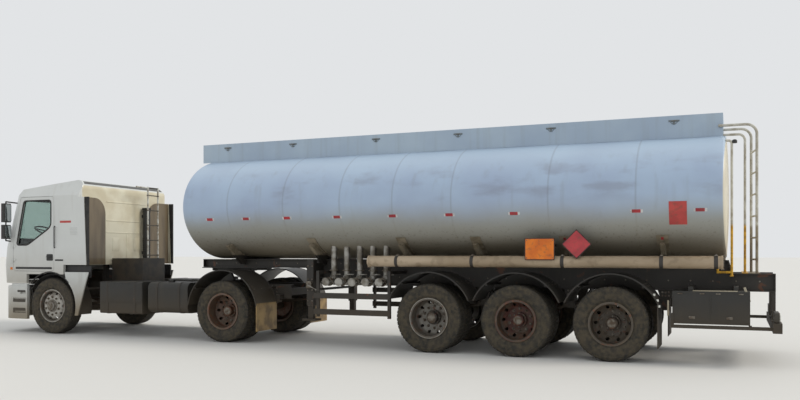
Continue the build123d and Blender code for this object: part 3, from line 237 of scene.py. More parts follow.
def cab_finish():
    """Grey-white outside, the back wall painted cream as painted sunlight, painted brown shade in each rear corner, and
    grey plastic and felt on the inside.
    """
    paint = Finish("cab_paint", 0.36, coat=0.25)
    outside, dust = weathered(paint, srgb(206, 208, 206), srgb(150, 140, 122), 0.35, 1.75, 0.12, 0.93)
    # Painted sunlight: the back wall is painted cream where a low warm sun lights it.
    sunlit_cream = paint.mottled(srgb(214, 208, 186), srgb(196, 186, 160), 2.4)
    across = paint.sum("ABSOLUTE", paint.axis("Y"))
    back = paint.both(paint.band(paint.axis("X"), aft(0.700), aft(0.712)), paint.band(across, 1.214, 1.208))
    outside = paint.blend(back, outside, sunlit_cream)
    # Painted shade: the brown in each rear corner of the back wall stands for shade falling there.
    corner_shade_across = paint.both(paint.band(across, 0.592, 0.600), paint.band(across, 1.176, 1.170))
    tall = paint.both(paint.band(paint.axis("Z"), 1.29, 1.31), paint.band(paint.axis("Z"), 2.568, 2.558))
    corner_shade = paint.both(paint.both(paint.band(paint.axis("X"), aft(0.722), aft(0.726)), corner_shade_across), tall)
    brown = paint.mottled(srgb(112, 98, 76), srgb(84, 72, 56), 6.0, high=0.7, stretch=(1, 1, 0.2))
    outside = paint.blend(corner_shade, outside, brown)
    # The inside: how far in a place lies from the leaning sides and from the front's three planes
    over_shoulder = paint.sum("MAXIMUM", paint.sum("SUBTRACT", paint.axis("Z"), 2.6))
    lean = paint.sum("ADD", across, paint.both(over_shoulder, 0.42))
    back_in = paint.band(paint.axis("X"), aft(0.694), aft(0.690))
    depths = []
    for x, z, run, share in ((-1.275, 1.64, 0.1176, 1.0), (-1.275, 1.64, 0.31, 1.0), (-0.965, 2.64, 1.19, 0.77)):
        behind = paint.sum("ADD", paint.axis("X"), paint.both(paint.axis("Z"), -run))
        depths.append(paint.both(paint.sum("ADD", behind, run * z - aft(x)), share))
    depth = paint.sum("MINIMUM", depths[0], paint.sum("MINIMUM", depths[1], depths[2]))
    over_side = paint.sum("MAXIMUM", paint.sum("SUBTRACT", lean, 0.98), 0.0)
    over_front = paint.sum("MAXIMUM", paint.sum("SUBTRACT", 0.24, depth), 0.0)
    reach = paint.sum("SQRT", paint.sum("ADD", paint.both(over_side, over_side), paint.both(over_front, over_front)))
    shell_in = paint.band(reach, 0.208, 0.202)
    slope = paint.sum("SUBTRACT", paint.axis("Z"), paint.both(paint.axis("X"), ROOF_RISE))
    roof = 2.745 - ROOF_RISE * aft(-0.84)
    roof_in = paint.band(slope, roof - 0.028, roof - 0.034)
    above = paint.band(paint.axis("Z"), 1.305, 1.315)
    inside = paint.both(paint.both(shell_in, back_in), paint.both(roof_in, above))
    trim = paint.mottled(srgb(92, 92, 90), srgb(76, 76, 74), 5.0, 4.0, 0.3, 0.7)
    paint.colour(paint.blend(inside, outside, trim))
    paint.rough(paint.sum("ADD", paint.both(dust, 0.3), paint.sum("ADD", 0.36, paint.both(inside, 0.3))))
    paint.relief(paint.noise(300.0, 2.0), 0.0003)
    return paint.material


SEAMS = [aft(x) for x in (3.151, 3.97, 5.05, 6.09, 7.00, 7.96, 9.42, 10.63, 11.73)]
STRAP_XS = [aft(x) for x in (7.034, 8.257, 9.607, 10.957, 11.653)]


def tank_finish():
    """Off-white tinted blue and lighter on top as painted sky light, with smears, drips from the walkway, a broad
    grey-brown belt of road dust darkened as painted shade, and the rear head painted cream as painted sunlight.
    """
    paint = Finish("tank_paint", 0.42)
    height = paint.axis("Z")
    # Painted sky light: the off-white is tinted blue for the sky's light on the shaded side, and the top is painted
    # lighter.
    cloud = paint.band(paint.noise(0.9, 5.0, shift=(2.0, 0.0, 4.0)), 0.34, 0.68)
    colour = paint.blend(cloud, srgb(166, 185, 208), srgb(156, 172, 197))
    sky_lit_top = paint.both(paint.band(height, 2.55, 3.1), 0.5)
    colour = paint.blend(sky_lit_top, colour, srgb(178, 196, 211))
    smear = paint.both(paint.band(paint.noise(1.7, 6.0, stretch=(0.7, 1.0, 1.9), shift=(1.3, 5.0, 0.7)), 0.52, 0.68),
                       paint.both(paint.within("Z", 2.30, 2.80, 0.14), 0.5))
    colour = paint.blend(smear, colour, srgb(132, 136, 152))
    drips = paint.both(paint.band(paint.noise(7.0, 3.0, stretch=(1.0, 1.0, 0.04)), 0.52, 0.76),
                       paint.both(paint.band(height, 3.0, 2.8), 0.2))
    colour = paint.blend(drips, colour, srgb(128, 128, 128))
    for seam in SEAMS[1:-1]:
        mark = paint.both(paint.within("X", seam - 0.012, seam + 0.012, 0.010), 0.3)
        colour = paint.blend(mark, colour, srgb(120, 122, 128))
    ragged = paint.sum("ADD", height, paint.both(paint.noise(1.6, 6.0, stretch=(0.5, 1.0, 1.0)), 0.22))
    film = paint.band(ragged, 2.44, 1.98)
    colour = paint.blend(paint.both(film, 0.88), colour, srgb(152, 150, 138))
    # Road dust and painted shade: the belt is darker than the dust alone, standing in for the shade low on the side.
    dust_and_shade_belt = paint.band(ragged, 2.06, 1.60)
    colour = paint.blend(paint.both(dust_and_shade_belt, 0.92), colour, srgb(122, 112, 94))
    spatter = paint.both(paint.band(paint.noise(26.0, 4.0), 0.58, 0.70), paint.band(height, 2.1, 1.6))
    colour = paint.blend(paint.both(spatter, 0.5), colour, srgb(92, 80, 62))
    # Painted sunlight: the rear head is painted cream where a low sun lights it, beyond a line that bows out towards
    # top and bottom.
    sunlit_cream = paint.blend(cloud, srgb(214, 206, 184), srgb(200, 190, 166))
    off_middle = paint.both(paint.sum("ADD", height, -2.32), paint.sum("ADD", height, -2.32))
    edge = paint.sum("SUBTRACT", paint.axis("X"), paint.both(off_middle, 0.055))
    rear = paint.band(edge, aft(11.732), aft(11.742))
    colour = paint.blend(paint.both(rear, 0.9), colour, sunlit_cream)
    paint.colour(colour)
    paint.rough(paint.sum("ADD", paint.both(film, 0.26), 0.40))
    waves = paint.sum("ADD", paint.noise(3.0, 2.0, stretch=(1.0, 1.0, 0.4)), paint.both(paint.noise(240.0, 2.0), 0.04))
    paint.relief(waves, 0.004, 0.35)
    return paint.material


def trough_finish():
    """The same off-white as the barrel, greyer, with faint drips outside and dirt on the walkway inside."""
    paint = Finish("trough_paint", 0.42)
    colour = paint.mottled(srgb(168, 184, 198), srgb(156, 172, 190), 1.1, high=0.7)
    drips = paint.both(paint.band(paint.noise(10.0, 4.0, stretch=(1.0, 1.0, 0.06)), 0.5, 0.74), 0.2)
    colour = paint.blend(drips, colour, srgb(134, 138, 138))
    inside = paint.band(paint.sum("ABSOLUTE", paint.axis("Y")), 0.439, 0.437)
    low_down = paint.both(paint.band(paint.axis("Z"), 3.30, 3.245), paint.band(paint.noise(4.0, 5.0), 0.3, 0.6))
    colour = paint.blend(paint.both(inside, low_down), colour, srgb(120, 112, 98))
    paint.colour(colour)
    paint.relief(paint.noise(200.0, 2.0), 0.0004)
    return paint.material


def pipe_finish():
    """Pale grey above as painted glare against a bright sky; below, the two pipes are worn yellow and the ladder is
    grey-brown.
    """
    paint = Finish("pipe_paint", 0.45)
    # Painted glare: the upper part is pale for the bright sky behind it, not for its paint.
    pale = paint.mottled(srgb(196, 194, 184), srgb(160, 154, 140), 9.0, 4.0)
    yellow = paint.mottled(srgb(206, 158, 34), srgb(160, 118, 34), 14.0, low=0.4)
    brown = paint.mottled(srgb(142, 132, 112), srgb(112, 100, 82), 9.0, 4.0)
    pipe = paint.band(paint.axis("X"), aft(12.056), aft(12.050))
    low_down = paint.blend(pipe, brown, yellow)
    colour = paint.blend(paint.band(paint.axis("Z"), 1.93, 1.87), pale, low_down)
    colour = chipped(paint, colour, RUST, 60.0, 0.06)
    paint.colour(colour)
    paint.relief(paint.noise(180.0, 3.0), 0.0005)
    return paint.material


def tube_finish():
    """Buff hose tubes, dusty on top, with a dark strap at each saddle."""
    paint = Finish("tube_paint", 0.5)
    colour = paint.mottled(srgb(176, 158, 134), srgb(150, 132, 108), 3.0, stretch=(0.4, 1.0, 1.0))
    dust = paint.band(paint.noise(9.0, 6.0), 0.52, 0.66)
    colour = paint.blend(paint.both(dust, 0.45), colour, srgb(118, 102, 80))
    strap = 0.0
    for x in STRAP_XS:
        strap = paint.sum("ADD", paint.within("X", x - 0.026, x + 0.026, 0.003), strap)
    colour = paint.blend(strap, colour, srgb(50, 46, 42))
    paint.colour(colour)
    paint.relief(paint.noise(150.0, 3.0), 0.0005)
    return paint.material


def rack_finish():
    """White mast poles with dark rungs, over a dark locker."""
    paint = Finish("rack_paint", 0.5)
    pale = paint.mottled(srgb(196, 196, 190), srgb(140, 132, 118), 12.0, 4.0, low=0.4)
    dark = paint.mottled(srgb(48, 45, 41), srgb(66, 58, 48), 6.0)
    locker = paint.band(paint.axis("Z"), 1.432, 1.426)
    rung = paint.both(paint.band(paint.axis("Y"), 0.298, 0.302), paint.band(paint.axis("Y"), 0.562, 0.558))
    colour = paint.blend(paint.sum("MAXIMUM", locker, rung), pale, dark)
    paint.colour(colour)
    paint.relief(paint.noise(160.0, 3.0), 0.0006)
    return paint.material


def iron_finish(name, dark, dusty, rust_amount, pads_from=None):
    """Black chassis iron: brushed-on paint, road dust on the ledges and rust coming through."""
    paint = Finish(name, 0.6)
    colour, dust = weathered(paint, dark, dusty, 0.1, 1.25, 0.3, 0.75)
    rust = paint.band(paint.noise(5.0, 7.0, warp=0.8), 0.66 - rust_amount, 0.74 - rust_amount)
    colour = paint.blend(paint.both(rust, 0.7), colour, RUST)
    if pads_from:
        pads = paint.band(paint.axis("Z"), pads_from, pads_from + 0.03)
        colour = paint.blend(pads, colour, paint.mottled(srgb(142, 132, 114), srgb(112, 102, 84), 8.0))
    paint.colour(colour)
    paint.rough(paint.sum("ADD", paint.both(dust, 0.25), 0.55))
    paint.relief(paint.noise(150.0, 4.0), 0.0008)
    return paint.material


def fender_finish():
    """The tractor's guards: the cab's colour on the fender beside the cab, then black, with tan flaps."""
    paint = Finish("tractor_guard", 0.5)
    black, dust = weathered(paint, srgb(44, 42, 39), srgb(74, 65, 52), 0.4, 1.3, 0.2)
    pale, haze = weathered(paint, srgb(200, 202, 200), srgb(132, 120, 100), 0.35, 1.2, 0.2)
    side = paint.band(paint.sum("ABSOLUTE", paint.axis("Y")), 1.196, 1.200)
    front = paint.band(paint.axis("X"), aft(1.2), aft(1.1))
    colour = paint.blend(paint.both(side, front), black, pale)
    flap_from = DRIVE_AXLE + 0.690
    flap = paint.band(paint.axis("X"), flap_from - 0.004, flap_from)
    tan = paint.mottled(srgb(160, 132, 84), srgb(112, 90, 58), 5.0, 6.0)
    paint.colour(paint.blend(flap, colour, tan))
    paint.relief(paint.noise(120.0, 4.0), 0.0008)
    return paint.material


def rim_finish(name, centre_x, face, hub, outer, rust):
    """A wheel centre painted in rings about its axle: hub, disc face and outer barrel, with rust and dust."""
    paint = Finish(name, 0.55)
    spot = paint.add("ShaderNodeMapping", Vector=paint.place, Location=(-centre_x, 0.0, -WHEEL_R))
    flat = paint.add("ShaderNodeVectorMath", Vector=spot.outputs[0])
    flat.operation = "MULTIPLY"
    flat.inputs[1].default_value = (1.0, 0.0, 1.0)
    reach = paint.add("ShaderNodeVectorMath", Vector=flat.outputs[0])
    reach.operation = "LENGTH"
    radius = reach.outputs["Value"]
    colour = paint.blend(paint.band(radius, 0.108, 0.120), hub, face)
    colour = paint.blend(paint.band(radius, 0.228, 0.262), colour, outer)
    colour = paint.blend(paint.band(radius, 0.297, 0.301), colour, face)
    worn = paint.band(paint.noise(16.0, 6.0, warp=0.5), 0.62 - rust, 0.70 - rust)
    colour = paint.blend(paint.both(worn, 0.8), colour, RUST)
    mud = paint.band(paint.noise(7.0, 6.0), 0.45, 0.66)
    colour = paint.blend(paint.both(mud, 0.7), colour, DARK_DUST)
    paint.colour(colour)
    paint.relief(paint.noise(140.0, 4.0), 0.0008)
    return paint.material


def tyre_finish():
    """Weathered rubber: dark blocks worn smooth, with mud dried in the grooves and dust on the walls."""
    rubber = Finish("tyre", 0.78, specular=0.3)
    colour = rubber.mottled(srgb(44, 43, 40), srgb(58, 54, 48), 6.0, 6.0)
    held = rubber.attribute("mud")
    broken = rubber.both(held, rubber.band(rubber.noise(19.0, 5.0), 0.3, 0.7))
    colour = rubber.blend(broken, colour, srgb(92, 82, 64))
    rubber.colour(colour)
    rubber.relief(rubber.noise(190.0, 4.0), 0.0008)
    return rubber.material


def cloth_finish():
    """Woven seat cover: two crossed sets of threads with a mottled grey-blue colour."""
    cloth = Finish("seat_cloth", 0.9, specular=0.2)
    cloth.shader.inputs["Sheen Weight"].default_value = 0.3
    warp = cloth.noise(900.0, 1.0, stretch=(1.0, 0.12, 1.0))
    weft = cloth.noise(900.0, 1.0, stretch=(0.12, 1.0, 0.12))
    cloth.colour(cloth.mottled(srgb(70, 72, 80), srgb(52, 53, 60), 40.0, 4.0))
    cloth.relief(cloth.sum("ADD", warp, weft), 0.0008)
    return cloth.material


def glass_finish(name, tint, roughness=0.02):
    """Clear tinted glass, a little darker in patches."""
    glass = Finish(name, roughness)
    glass.shader.inputs["Transmission Weight"].default_value = 1.0
    glass.shader.inputs["IOR"].default_value = 1.45
    darker = tuple(0.93 * c for c in tint[:3]) + (1.0,)
    glass.colour(glass.mottled(tint, darker, 2.0, 4.0, 0.3, 0.7))
    return glass.material


def plain(name, light, dark, roughness=0.5, metallic=0.0, scale=12.0, grain=0.0005):
    """Two close shades mixed in patches, with a fine grain."""
    stuff = Finish(name, roughness, metallic=metallic)
    stuff.colour(stuff.mottled(light, dark, scale))
    stuff.relief(stuff.noise(220.0, 3.0), grain)
    return stuff.material


def sign_finish(name, light, dark):
    """A faded sign sheet: two shades in patches, with specks of dust."""
    sheet = Finish(name, 0.5)
    colour = sheet.mottled(light, dark, 6.0, 5.0, 0.3, 0.7)
    colour = sheet.blend(sheet.both(sheet.band(sheet.noise(20.0, 5.0), 0.5, 0.7), 0.4), colour, DARK_DUST)
    sheet.colour(colour)
    sheet.relief(sheet.noise(160.0, 2.0), 0.0003)
    return sheet.material


finish = {
    "cab_paint": cab_finish(),
    "cab_trim": painted("cab_trim", srgb(202, 204, 202), srgb(140, 130, 112), 0.2, 1.1, 0.4, 0.15, 0.2),
    "tank_paint": tank_finish(),
    "trough_paint": trough_finish(),
    "pale_paint": painted("pale_paint", srgb(178, 170, 150), srgb(124, 112, 92), 0.3, 1.5, bare=RUST, chips=0.06),
    "tube_paint": tube_finish(),
    "pipe_paint": pipe_finish(),
    "rack_paint": rack_finish(),
    "chassis_paint": iron_finish("chassis_paint", srgb(46, 43, 39), srgb(70, 61, 49), 0.02),
    "trailer_iron": iron_finish("trailer_iron", srgb(46, 43, 39), srgb(70, 61, 49), 0.03, 1.47),
    "axle_iron": iron_finish("axle_iron", srgb(56, 49, 42), srgb(82, 70, 54), 0.07),
    "tyre": tyre_finish(),
    "black_plastic": painted("black_plastic", srgb(42, 42, 42), srgb(80, 72, 60), 0.2, 1.2, 0.5),
    "tank_black": painted("tank_black", srgb(42, 41, 38), srgb(70, 61, 48), 0.3, 1.0, 0.5, bare=RUST, chips=0.0),
    "smoke_lens": plain("smoke_lens", srgb(116, 112, 104), srgb(96, 94, 90), 0.2, 0.0, 30.0),
    "lamp_seat": plain("lamp_seat", srgb(112, 120, 124), srgb(96, 104, 108), 0.5, 0.0, 20.0),
    "rubber": plain("rubber", srgb(34, 34, 34), srgb(48, 46, 44), 0.75),
    "seat_cloth": cloth_finish(),
    "bare_steel": plain("bare_steel", srgb(164, 162, 156), srgb(112, 106, 96), 0.42, 0.7, 9.0),
    "worn_steel": plain("worn_steel", srgb(128, 122, 112), srgb(84, 70, 56), 0.55, 0.35, 20.0),
    "glass": glass_finish("glass", srgb(196, 212, 206)),
    "lamp_glass": glass_finish("lamp_glass", srgb(238, 240, 240)),
    "mirror": plain("mirror", srgb(206, 212, 214), srgb(190, 196, 200), 0.05, 1.0, 2.0, 0.0),
    "chrome": plain("chrome", srgb(214, 214, 212), srgb(190, 190, 188), 0.12, 1.0, 6.0, 0.0001),
    "amber": plain("amber", srgb(214, 122, 26), srgb(190, 98, 20), 0.2, 0.0, 30.0),
    "red_lens": plain("red_lens", srgb(176, 28, 26), srgb(140, 20, 20), 0.2, 0.0, 30.0),
    "white_lens": plain("white_lens", srgb(222, 222, 214), srgb(196, 196, 188), 0.2, 0.0, 30.0),
    "red_tape": sign_finish("red_tape", srgb(172, 44, 54), srgb(146, 36, 48)),
    "white_tape": sign_finish("white_tape", srgb(206, 206, 206), srgb(184, 184, 184)),
    "orange_sign": sign_finish("orange_sign", srgb(226, 122, 24), srgb(204, 100, 18)),
    "red_sign": sign_finish("red_sign", srgb(186, 62, 66), srgb(160, 50, 58)),
    "faded_sign": sign_finish("faded_sign", srgb(190, 72, 66), srgb(168, 60, 58)),
    "sign_edge": sign_finish("sign_edge", srgb(60, 34, 30), srgb(46, 28, 26)),
    "blank_plate": sign_finish("blank_plate", srgb(196, 196, 190), srgb(176, 176, 168)),
    "grating": plain("grating", srgb(128, 124, 114), srgb(96, 86, 72), 0.6, 0.3, 14.0),
    "tractor_guard": fender_finish(),
    "trailer_guard": painted("trailer_guard", srgb(44, 42, 39), srgb(66, 58, 47), 0.3, 1.2, 0.6),
}

slot_of = {entry["node"]: entry["material_slot"] for entry in frame["record"]["subparts"]}
special = {
    "rear_ladder": "pipe_paint", "trough": "trough_paint", "hose_tubes": "tube_paint",
    "trailer_frame": "trailer_iron", "cab_back_rack": "rack_paint",
    "tractor_mudguards": "tractor_guard", "trailer_mudguards": "trailer_guard", "front_panel": "cab_trim",
    "bumper": "cab_trim", "fairing_lips": "rubber",
}
for name, part in nodes.items():
    part.data.materials.clear()
    part.data.materials.append(finish.get(special.get(name) or slot_of.get(name), finish["chassis_paint"]))

# Wheel centres: each axle has its own wear
rim_looks = {
    "front": (srgb(168, 164, 156), srgb(120, 114, 106), srgb(104, 98, 90), 0.0),
    "drive": (srgb(112, 88, 76), srgb(96, 66, 48), srgb(84, 66, 54), 0.08),
    "trailer_axle1": (srgb(146, 142, 134), srgb(56, 50, 44), srgb(88, 82, 74), 0.02),
    "trailer_axle2": (srgb(86, 52, 44), srgb(70, 36, 30), srgb(70, 58, 48), 0.08),
    "trailer_axle3": (srgb(88, 80, 70), srgb(58, 46, 36), srgb(70, 62, 52), 0.04),
}
for name, part in nodes.items():
    axle_name = next((a for a in rim_looks if name.startswith(a) and "_rim" in name), None)
    if axle_name:
        if axle_name + "_rim" not in finish:
            face, hub, outer, rust = rim_looks[axle_name]
            finish[axle_name + "_rim"] = rim_finish(axle_name + "_rim", middle(name)[0], face, hub, outer, rust)
        part.data.materials.clear()
        part.data.materials.append(finish[axle_name + "_rim"])


def outward(points, quads, triangles):
    """Turns every face over when the closed surface's signed volume is negative."""
    halves = np.concatenate([quads[:, (0, 1, 2)], quads[:, (0, 2, 3)], triangles])
    corner = points[halves]
    volume = np.einsum("ij,ij->i", corner[:, 0], np.cross(corner[:, 1], corner[:, 2])).sum()
    if volume < 0:
        quads, triangles = quads[:, ::-1], triangles[:, ::-1]
    return points, quads, triangles


def skin(rings, looped=False):
    """Closed surface over rings of points: quads between neighbours, and a fan to the middle of each end ring."""
    rings = np.asarray(rings, float)
    m, n, _ = rings.shape
    points = rings.reshape(-1, 3)
    i = np.arange(m if looped else m - 1)[:, None]
    j = np.arange(n)[None, :]
    k = (j + 1) % n
    below = ((i + 1) % m) * n
    quads = np.stack([i * n + j, i * n + k, below + k, below + j], -1).reshape(-1, 4)
    if looped:
        return outward(points, quads, np.zeros((0, 3), int))
    points = np.concatenate([points, rings[:1].mean(1), rings[-1:].mean(1)])
    j, k, last = j[0], k[0], (m - 1) * n
    fan = np.stack([np.full(n, m * n), k, j], -1)
    far_fan = np.stack([np.full(n, m * n + 1), last + j, last + k], -1)
    return outward(points, quads, np.concatenate([fan, far_fan]))


def joined(surfaces):
    """Several surfaces as one."""
    starts = np.cumsum([0] + [len(s[0]) for s in surfaces[:-1]])
    return (np.concatenate([s[0] for s in surfaces]),
            np.concatenate([s[1] + start for s, start in zip(surfaces, starts)]),
            np.concatenate([s[2] + start for s, start in zip(surfaces, starts)]))


def repeated(surface, places):
    """The same surface moved to each of the places."""
    points, quads, triangles = surface
    places = np.asarray(places, float).reshape(-1, 3)
    steps = np.arange(len(places))[:, None, None] * len(points)
    return ((points[None] + places[:, None]).reshape(-1, 3), (quads[None] + steps).reshape(-1, 4),
            (triangles[None] + steps).reshape(-1, 3))


def piece(name, body, slot, look, *surfaces, crease=38.0, mud=None):
    """One object made of surfaces, smooth up to the crease angle, with its finish and body; the slot argument is not
    used.
    """
    points, quads, triangles = joined(surfaces)
    mesh = bpy.data.meshes.new(name)
    mesh.vertices.add(len(points))
    mesh.vertices.foreach_set("co", points.astype(np.float32).ravel())
    corners = np.concatenate([quads.ravel(), triangles.ravel()]).astype(np.int32)
    mesh.loops.add(len(corners))
    mesh.loops.foreach_set("vertex_index", corners)
    sizes = np.concatenate([np.full(len(quads), 4), np.full(len(triangles), 3)])
    mesh.polygons.add(len(sizes))
    mesh.polygons.foreach_set("loop_start", (np.cumsum(sizes) - sizes).astype(np.int32))
    mesh.polygons.foreach_set("use_smooth", np.ones(len(sizes), bool))
    if mud is not None:
        mesh.attributes.new("mud", "FLOAT", "POINT").data.foreach_set("value", mud.astype(np.float32))
    mesh.update(calc_edges=True)
    mesh.validate()
    mesh.set_sharp_from_angle(angle=math.radians(crease))
    obj = bpy.data.objects.new(name, mesh)
    bpy.context.scene.collection.objects.link(obj)
    mesh.materials.append(finish[look])
    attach(obj, body)
    return obj


AXES = {"X": (1, 2, 0), "Y": (2, 0, 1), "Z": (0, 1, 2)}


def box_outline(width, depth, corner, steps=5):
    """A rounded rectangle about the middle: quarter arcs of the corner radius joined by straight sides."""
    turn = np.linspace(0, math.pi / 2, steps)
    corner = max(corner, 1e-4)
    parts = []
    for quarter, (a, b) in enumerate(((1, 1), (-1, 1), (-1, -1), (1, -1))):
        angle = turn + quarter * math.pi / 2
        parts.append(np.stack([a * (width / 2 - corner) + corner * np.cos(angle),
                               b * (depth / 2 - corner) + corner * np.sin(angle)], -1))
    return np.concatenate(parts)


def slab(low, high, axis="Z", corner=0.01, edge=0.003, steps=4):
    """A plate between two corners: a rounded rectangle carried along an axis, drawn in by a quarter arc at each end."""
    first, second, third = AXES[axis]
    low, high = np.minimum(low, high), np.maximum(low, high)
    size, centre = high - low, (low + high) / 2
    edge = min(edge, 0.45 * size[third], 0.45 * size[first], 0.45 * size[second])
    turn = np.linspace(0, math.pi / 2, 4)
    inset = np.concatenate([edge * (1 - np.sin(turn)), edge * (1 - np.sin(turn[::-1]))])
    level = np.concatenate([low[third] + edge * (1 - np.cos(turn)), high[third] - edge * (1 - np.cos(turn[::-1]))])
    corner = min(corner, 0.49 * min(size[first], size[second]))
    rings = np.zeros((len(inset), 4 * steps, 3))
    for row, (draw, height) in enumerate(zip(inset, level)):
        flat = box_outline(size[first] - 2 * draw, size[second] - 2 * draw, corner - draw * 0.9, steps)
        rings[row, :, first] = centre[first] + flat[:, 0]
        rings[row, :, second] = centre[second] + flat[:, 1]
        rings[row, :, third] = height
    return skin(rings)


def turned(profile, centre, axis="Y", steps=32, looped=False, flip=1.0):
    """A profile of (radius, distance along) turned about an axis through a centre."""
    first, second, third = AXES[axis]
    profile = np.asarray(profile, float)
    angle = np.arange(steps) * 2 * math.pi / steps
    rings = np.zeros((len(profile), steps, 3))
    rings[..., first] = centre[first] + profile[:, :1] * np.cos(angle)
    rings[..., second] = centre[second] + profile[:, :1] * np.sin(angle)
    rings[..., third] = centre[third] + flip * profile[:, 1:2]
    return skin(rings, looped)


def rounded(corners, cut, steps=5, closed=False):
    """A line through the corners in which each corner becomes a parabola that starts a cut away from it."""
    corners = np.asarray(corners, float)
    share = np.linspace(0, 1, steps)[:, None]
    parts = []
    for i, corner in enumerate(corners):
        if not closed and i in (0, len(corners) - 1):
            parts.append(corner[None])
            continue
        before, after = corners[i - 1] - corner, corners[(i + 1) % len(corners)] - corner
        start = corner + before * min(cut / np.linalg.norm(before), 0.48)
        end = corner + after * min(cut / np.linalg.norm(after), 0.48)
        parts.append((1 - share) ** 2 * start + 2 * share * (1 - share) * corner + share ** 2 * end)
    return np.concatenate(parts)


def carried(profile, path, out, looped=False):
    """A closed profile (across, out) carried along a path, square to it, with its second axis towards out."""
    profile, path = np.asarray(profile, float), np.asarray(path, float)
    if looped:
        ahead = np.roll(path, -1, 0) - np.roll(path, 1, 0)
    else:
        ahead = np.gradient(path, axis=0)
    ahead /= np.linalg.norm(ahead, axis=1, keepdims=True)
    up = np.broadcast_to(np.asarray(out, float), path.shape)
    up = up - (up * ahead).sum(1, keepdims=True) * ahead
    up /= np.linalg.norm(up, axis=1, keepdims=True)
    side = np.cross(ahead, up)
    rings = path[:, None] + profile[None, :, :1] * side[:, None] + profile[None, :, 1:] * up[:, None]
    return skin(rings, looped)


def circle(r, sides=12):
    angle = np.arange(sides) * 2 * math.pi / sides
    return np.stack([r * np.cos(angle), r * np.sin(angle)], -1)


def rod(path, r, out=(0.0, 0.0, 1.0), sides=10):
    """A round bar along a path."""
    return carried(circle(r, sides), path, out)


def bolts(places, axis, r=0.012, h=0.010, flip=1.0):
    """Hexagon heads with a chamfered crown on washers, one at each place."""
    head = turned([(1.45 * r, 0), (1.45 * r, 0.2 * h), (1.1 * r, 0.22 * h), (1.1 * r, 0.85 * h), (0.9 * r, h)],
                  (0, 0, 0), axis, 6, flip=flip)
    return repeated(head, places)


# Tyres: bead, bowed walls with ridges, and a tread cut inwards from the rolling radius
TREAD_DEPTH = 0.013
PITCHES = 54
CUT_AT = np.array([0.0, 0.05, 0.20, 0.25, 0.62])


def tyre(centre, side, block_tread):
    """Rings of the profile turned about the axle; grooves run round and, on the shoulders, across the tread."""
    wall_r = np.array([0.318, 0.334, 0.338, 0.350, 0.354, 0.375, 0.409, 0.440, 0.462, 0.466, 0.474, 0.478, 0.493])
    bulge = np.where(wall_r < 0.4085, 3.93, 1.60)
    wall_a = 0.1445 - bulge * (wall_r - 0.4085) ** 2
    ridge = np.isin(np.arange(len(wall_r)), (2, 3, 9, 10))
    wall_a = wall_a - np.where(ridge, 0.0, 0.0025)
    groove_at = np.array([-0.072, -0.024, 0.024, 0.072])
    half = 0.0050 if block_tread else 0.0042
    stations = (groove_at[:, None] + np.array([-half - 0.0016, -half, half, half + 0.0016])).ravel()
    tread_a = np.concatenate([[-0.128, -0.1165], stations, [0.1165, 0.128]])
    tread_r = np.where(abs(tread_a) > 0.12, 0.503, 0.525 - 0.006 * (tread_a / 0.117) ** 2)
    cut = np.concatenate([[0, 0], np.tile([0, 1, 1, 0], 4), [0, 0]]).astype(float)
    shoulder = (abs(tread_a) > 0.083).astype(float)
    bead_a = np.array([-0.107, -0.106, 0.106, 0.107])
    bead_r = np.array([0.312, 0.2935, 0.2935, 0.312])
    a = np.concatenate([-wall_a, tread_a, wall_a[::-1], bead_a[::-1]])
    r = np.concatenate([wall_r, tread_r, wall_r[::-1], bead_r[::-1]])
    wall = np.zeros(len(wall_r))
    deep = np.concatenate([wall, cut, wall, np.zeros(4)])
    across = np.concatenate([wall, shoulder, wall, np.zeros(4)])
    mid = np.concatenate([wall, (abs(tread_a) < 0.083) * 1.0, wall, np.zeros(4)])
    phase = np.tile(CUT_AT, PITCHES)
    turn = (np.repeat(np.arange(PITCHES), len(CUT_AT)) + phase) * 2 * math.pi / PITCHES
    crossed = ((phase > 0.04) & (phase < 0.21)).astype(float)
    weave = (0.0045 if block_tread else 0.0012) * np.cos(2 * math.pi * phase)
    depth = np.maximum(deep[None], across[None] * crossed[:, None] * 0.75)
    if block_tread:
        depth = np.maximum(depth, mid[None] * np.roll(crossed, 2)[:, None] * 0.45)
    radius = r[None] - TREAD_DEPTH * depth
    place = a[None] + mid[None] * weave[:, None]
    rings = np.stack([centre[0] + radius * np.cos(turn)[:, None],
                      centre[1] + side * place,
                      WHEEL_R + radius * np.sin(turn)[:, None]], -1)
    on_wall = np.concatenate([wall + 0.55, 0.12 + 0.0 * cut, wall + 0.55, np.zeros(4) + 0.8])
    mud = np.maximum(on_wall[None], depth)
    return skin(rings, looped=True), mud.ravel()


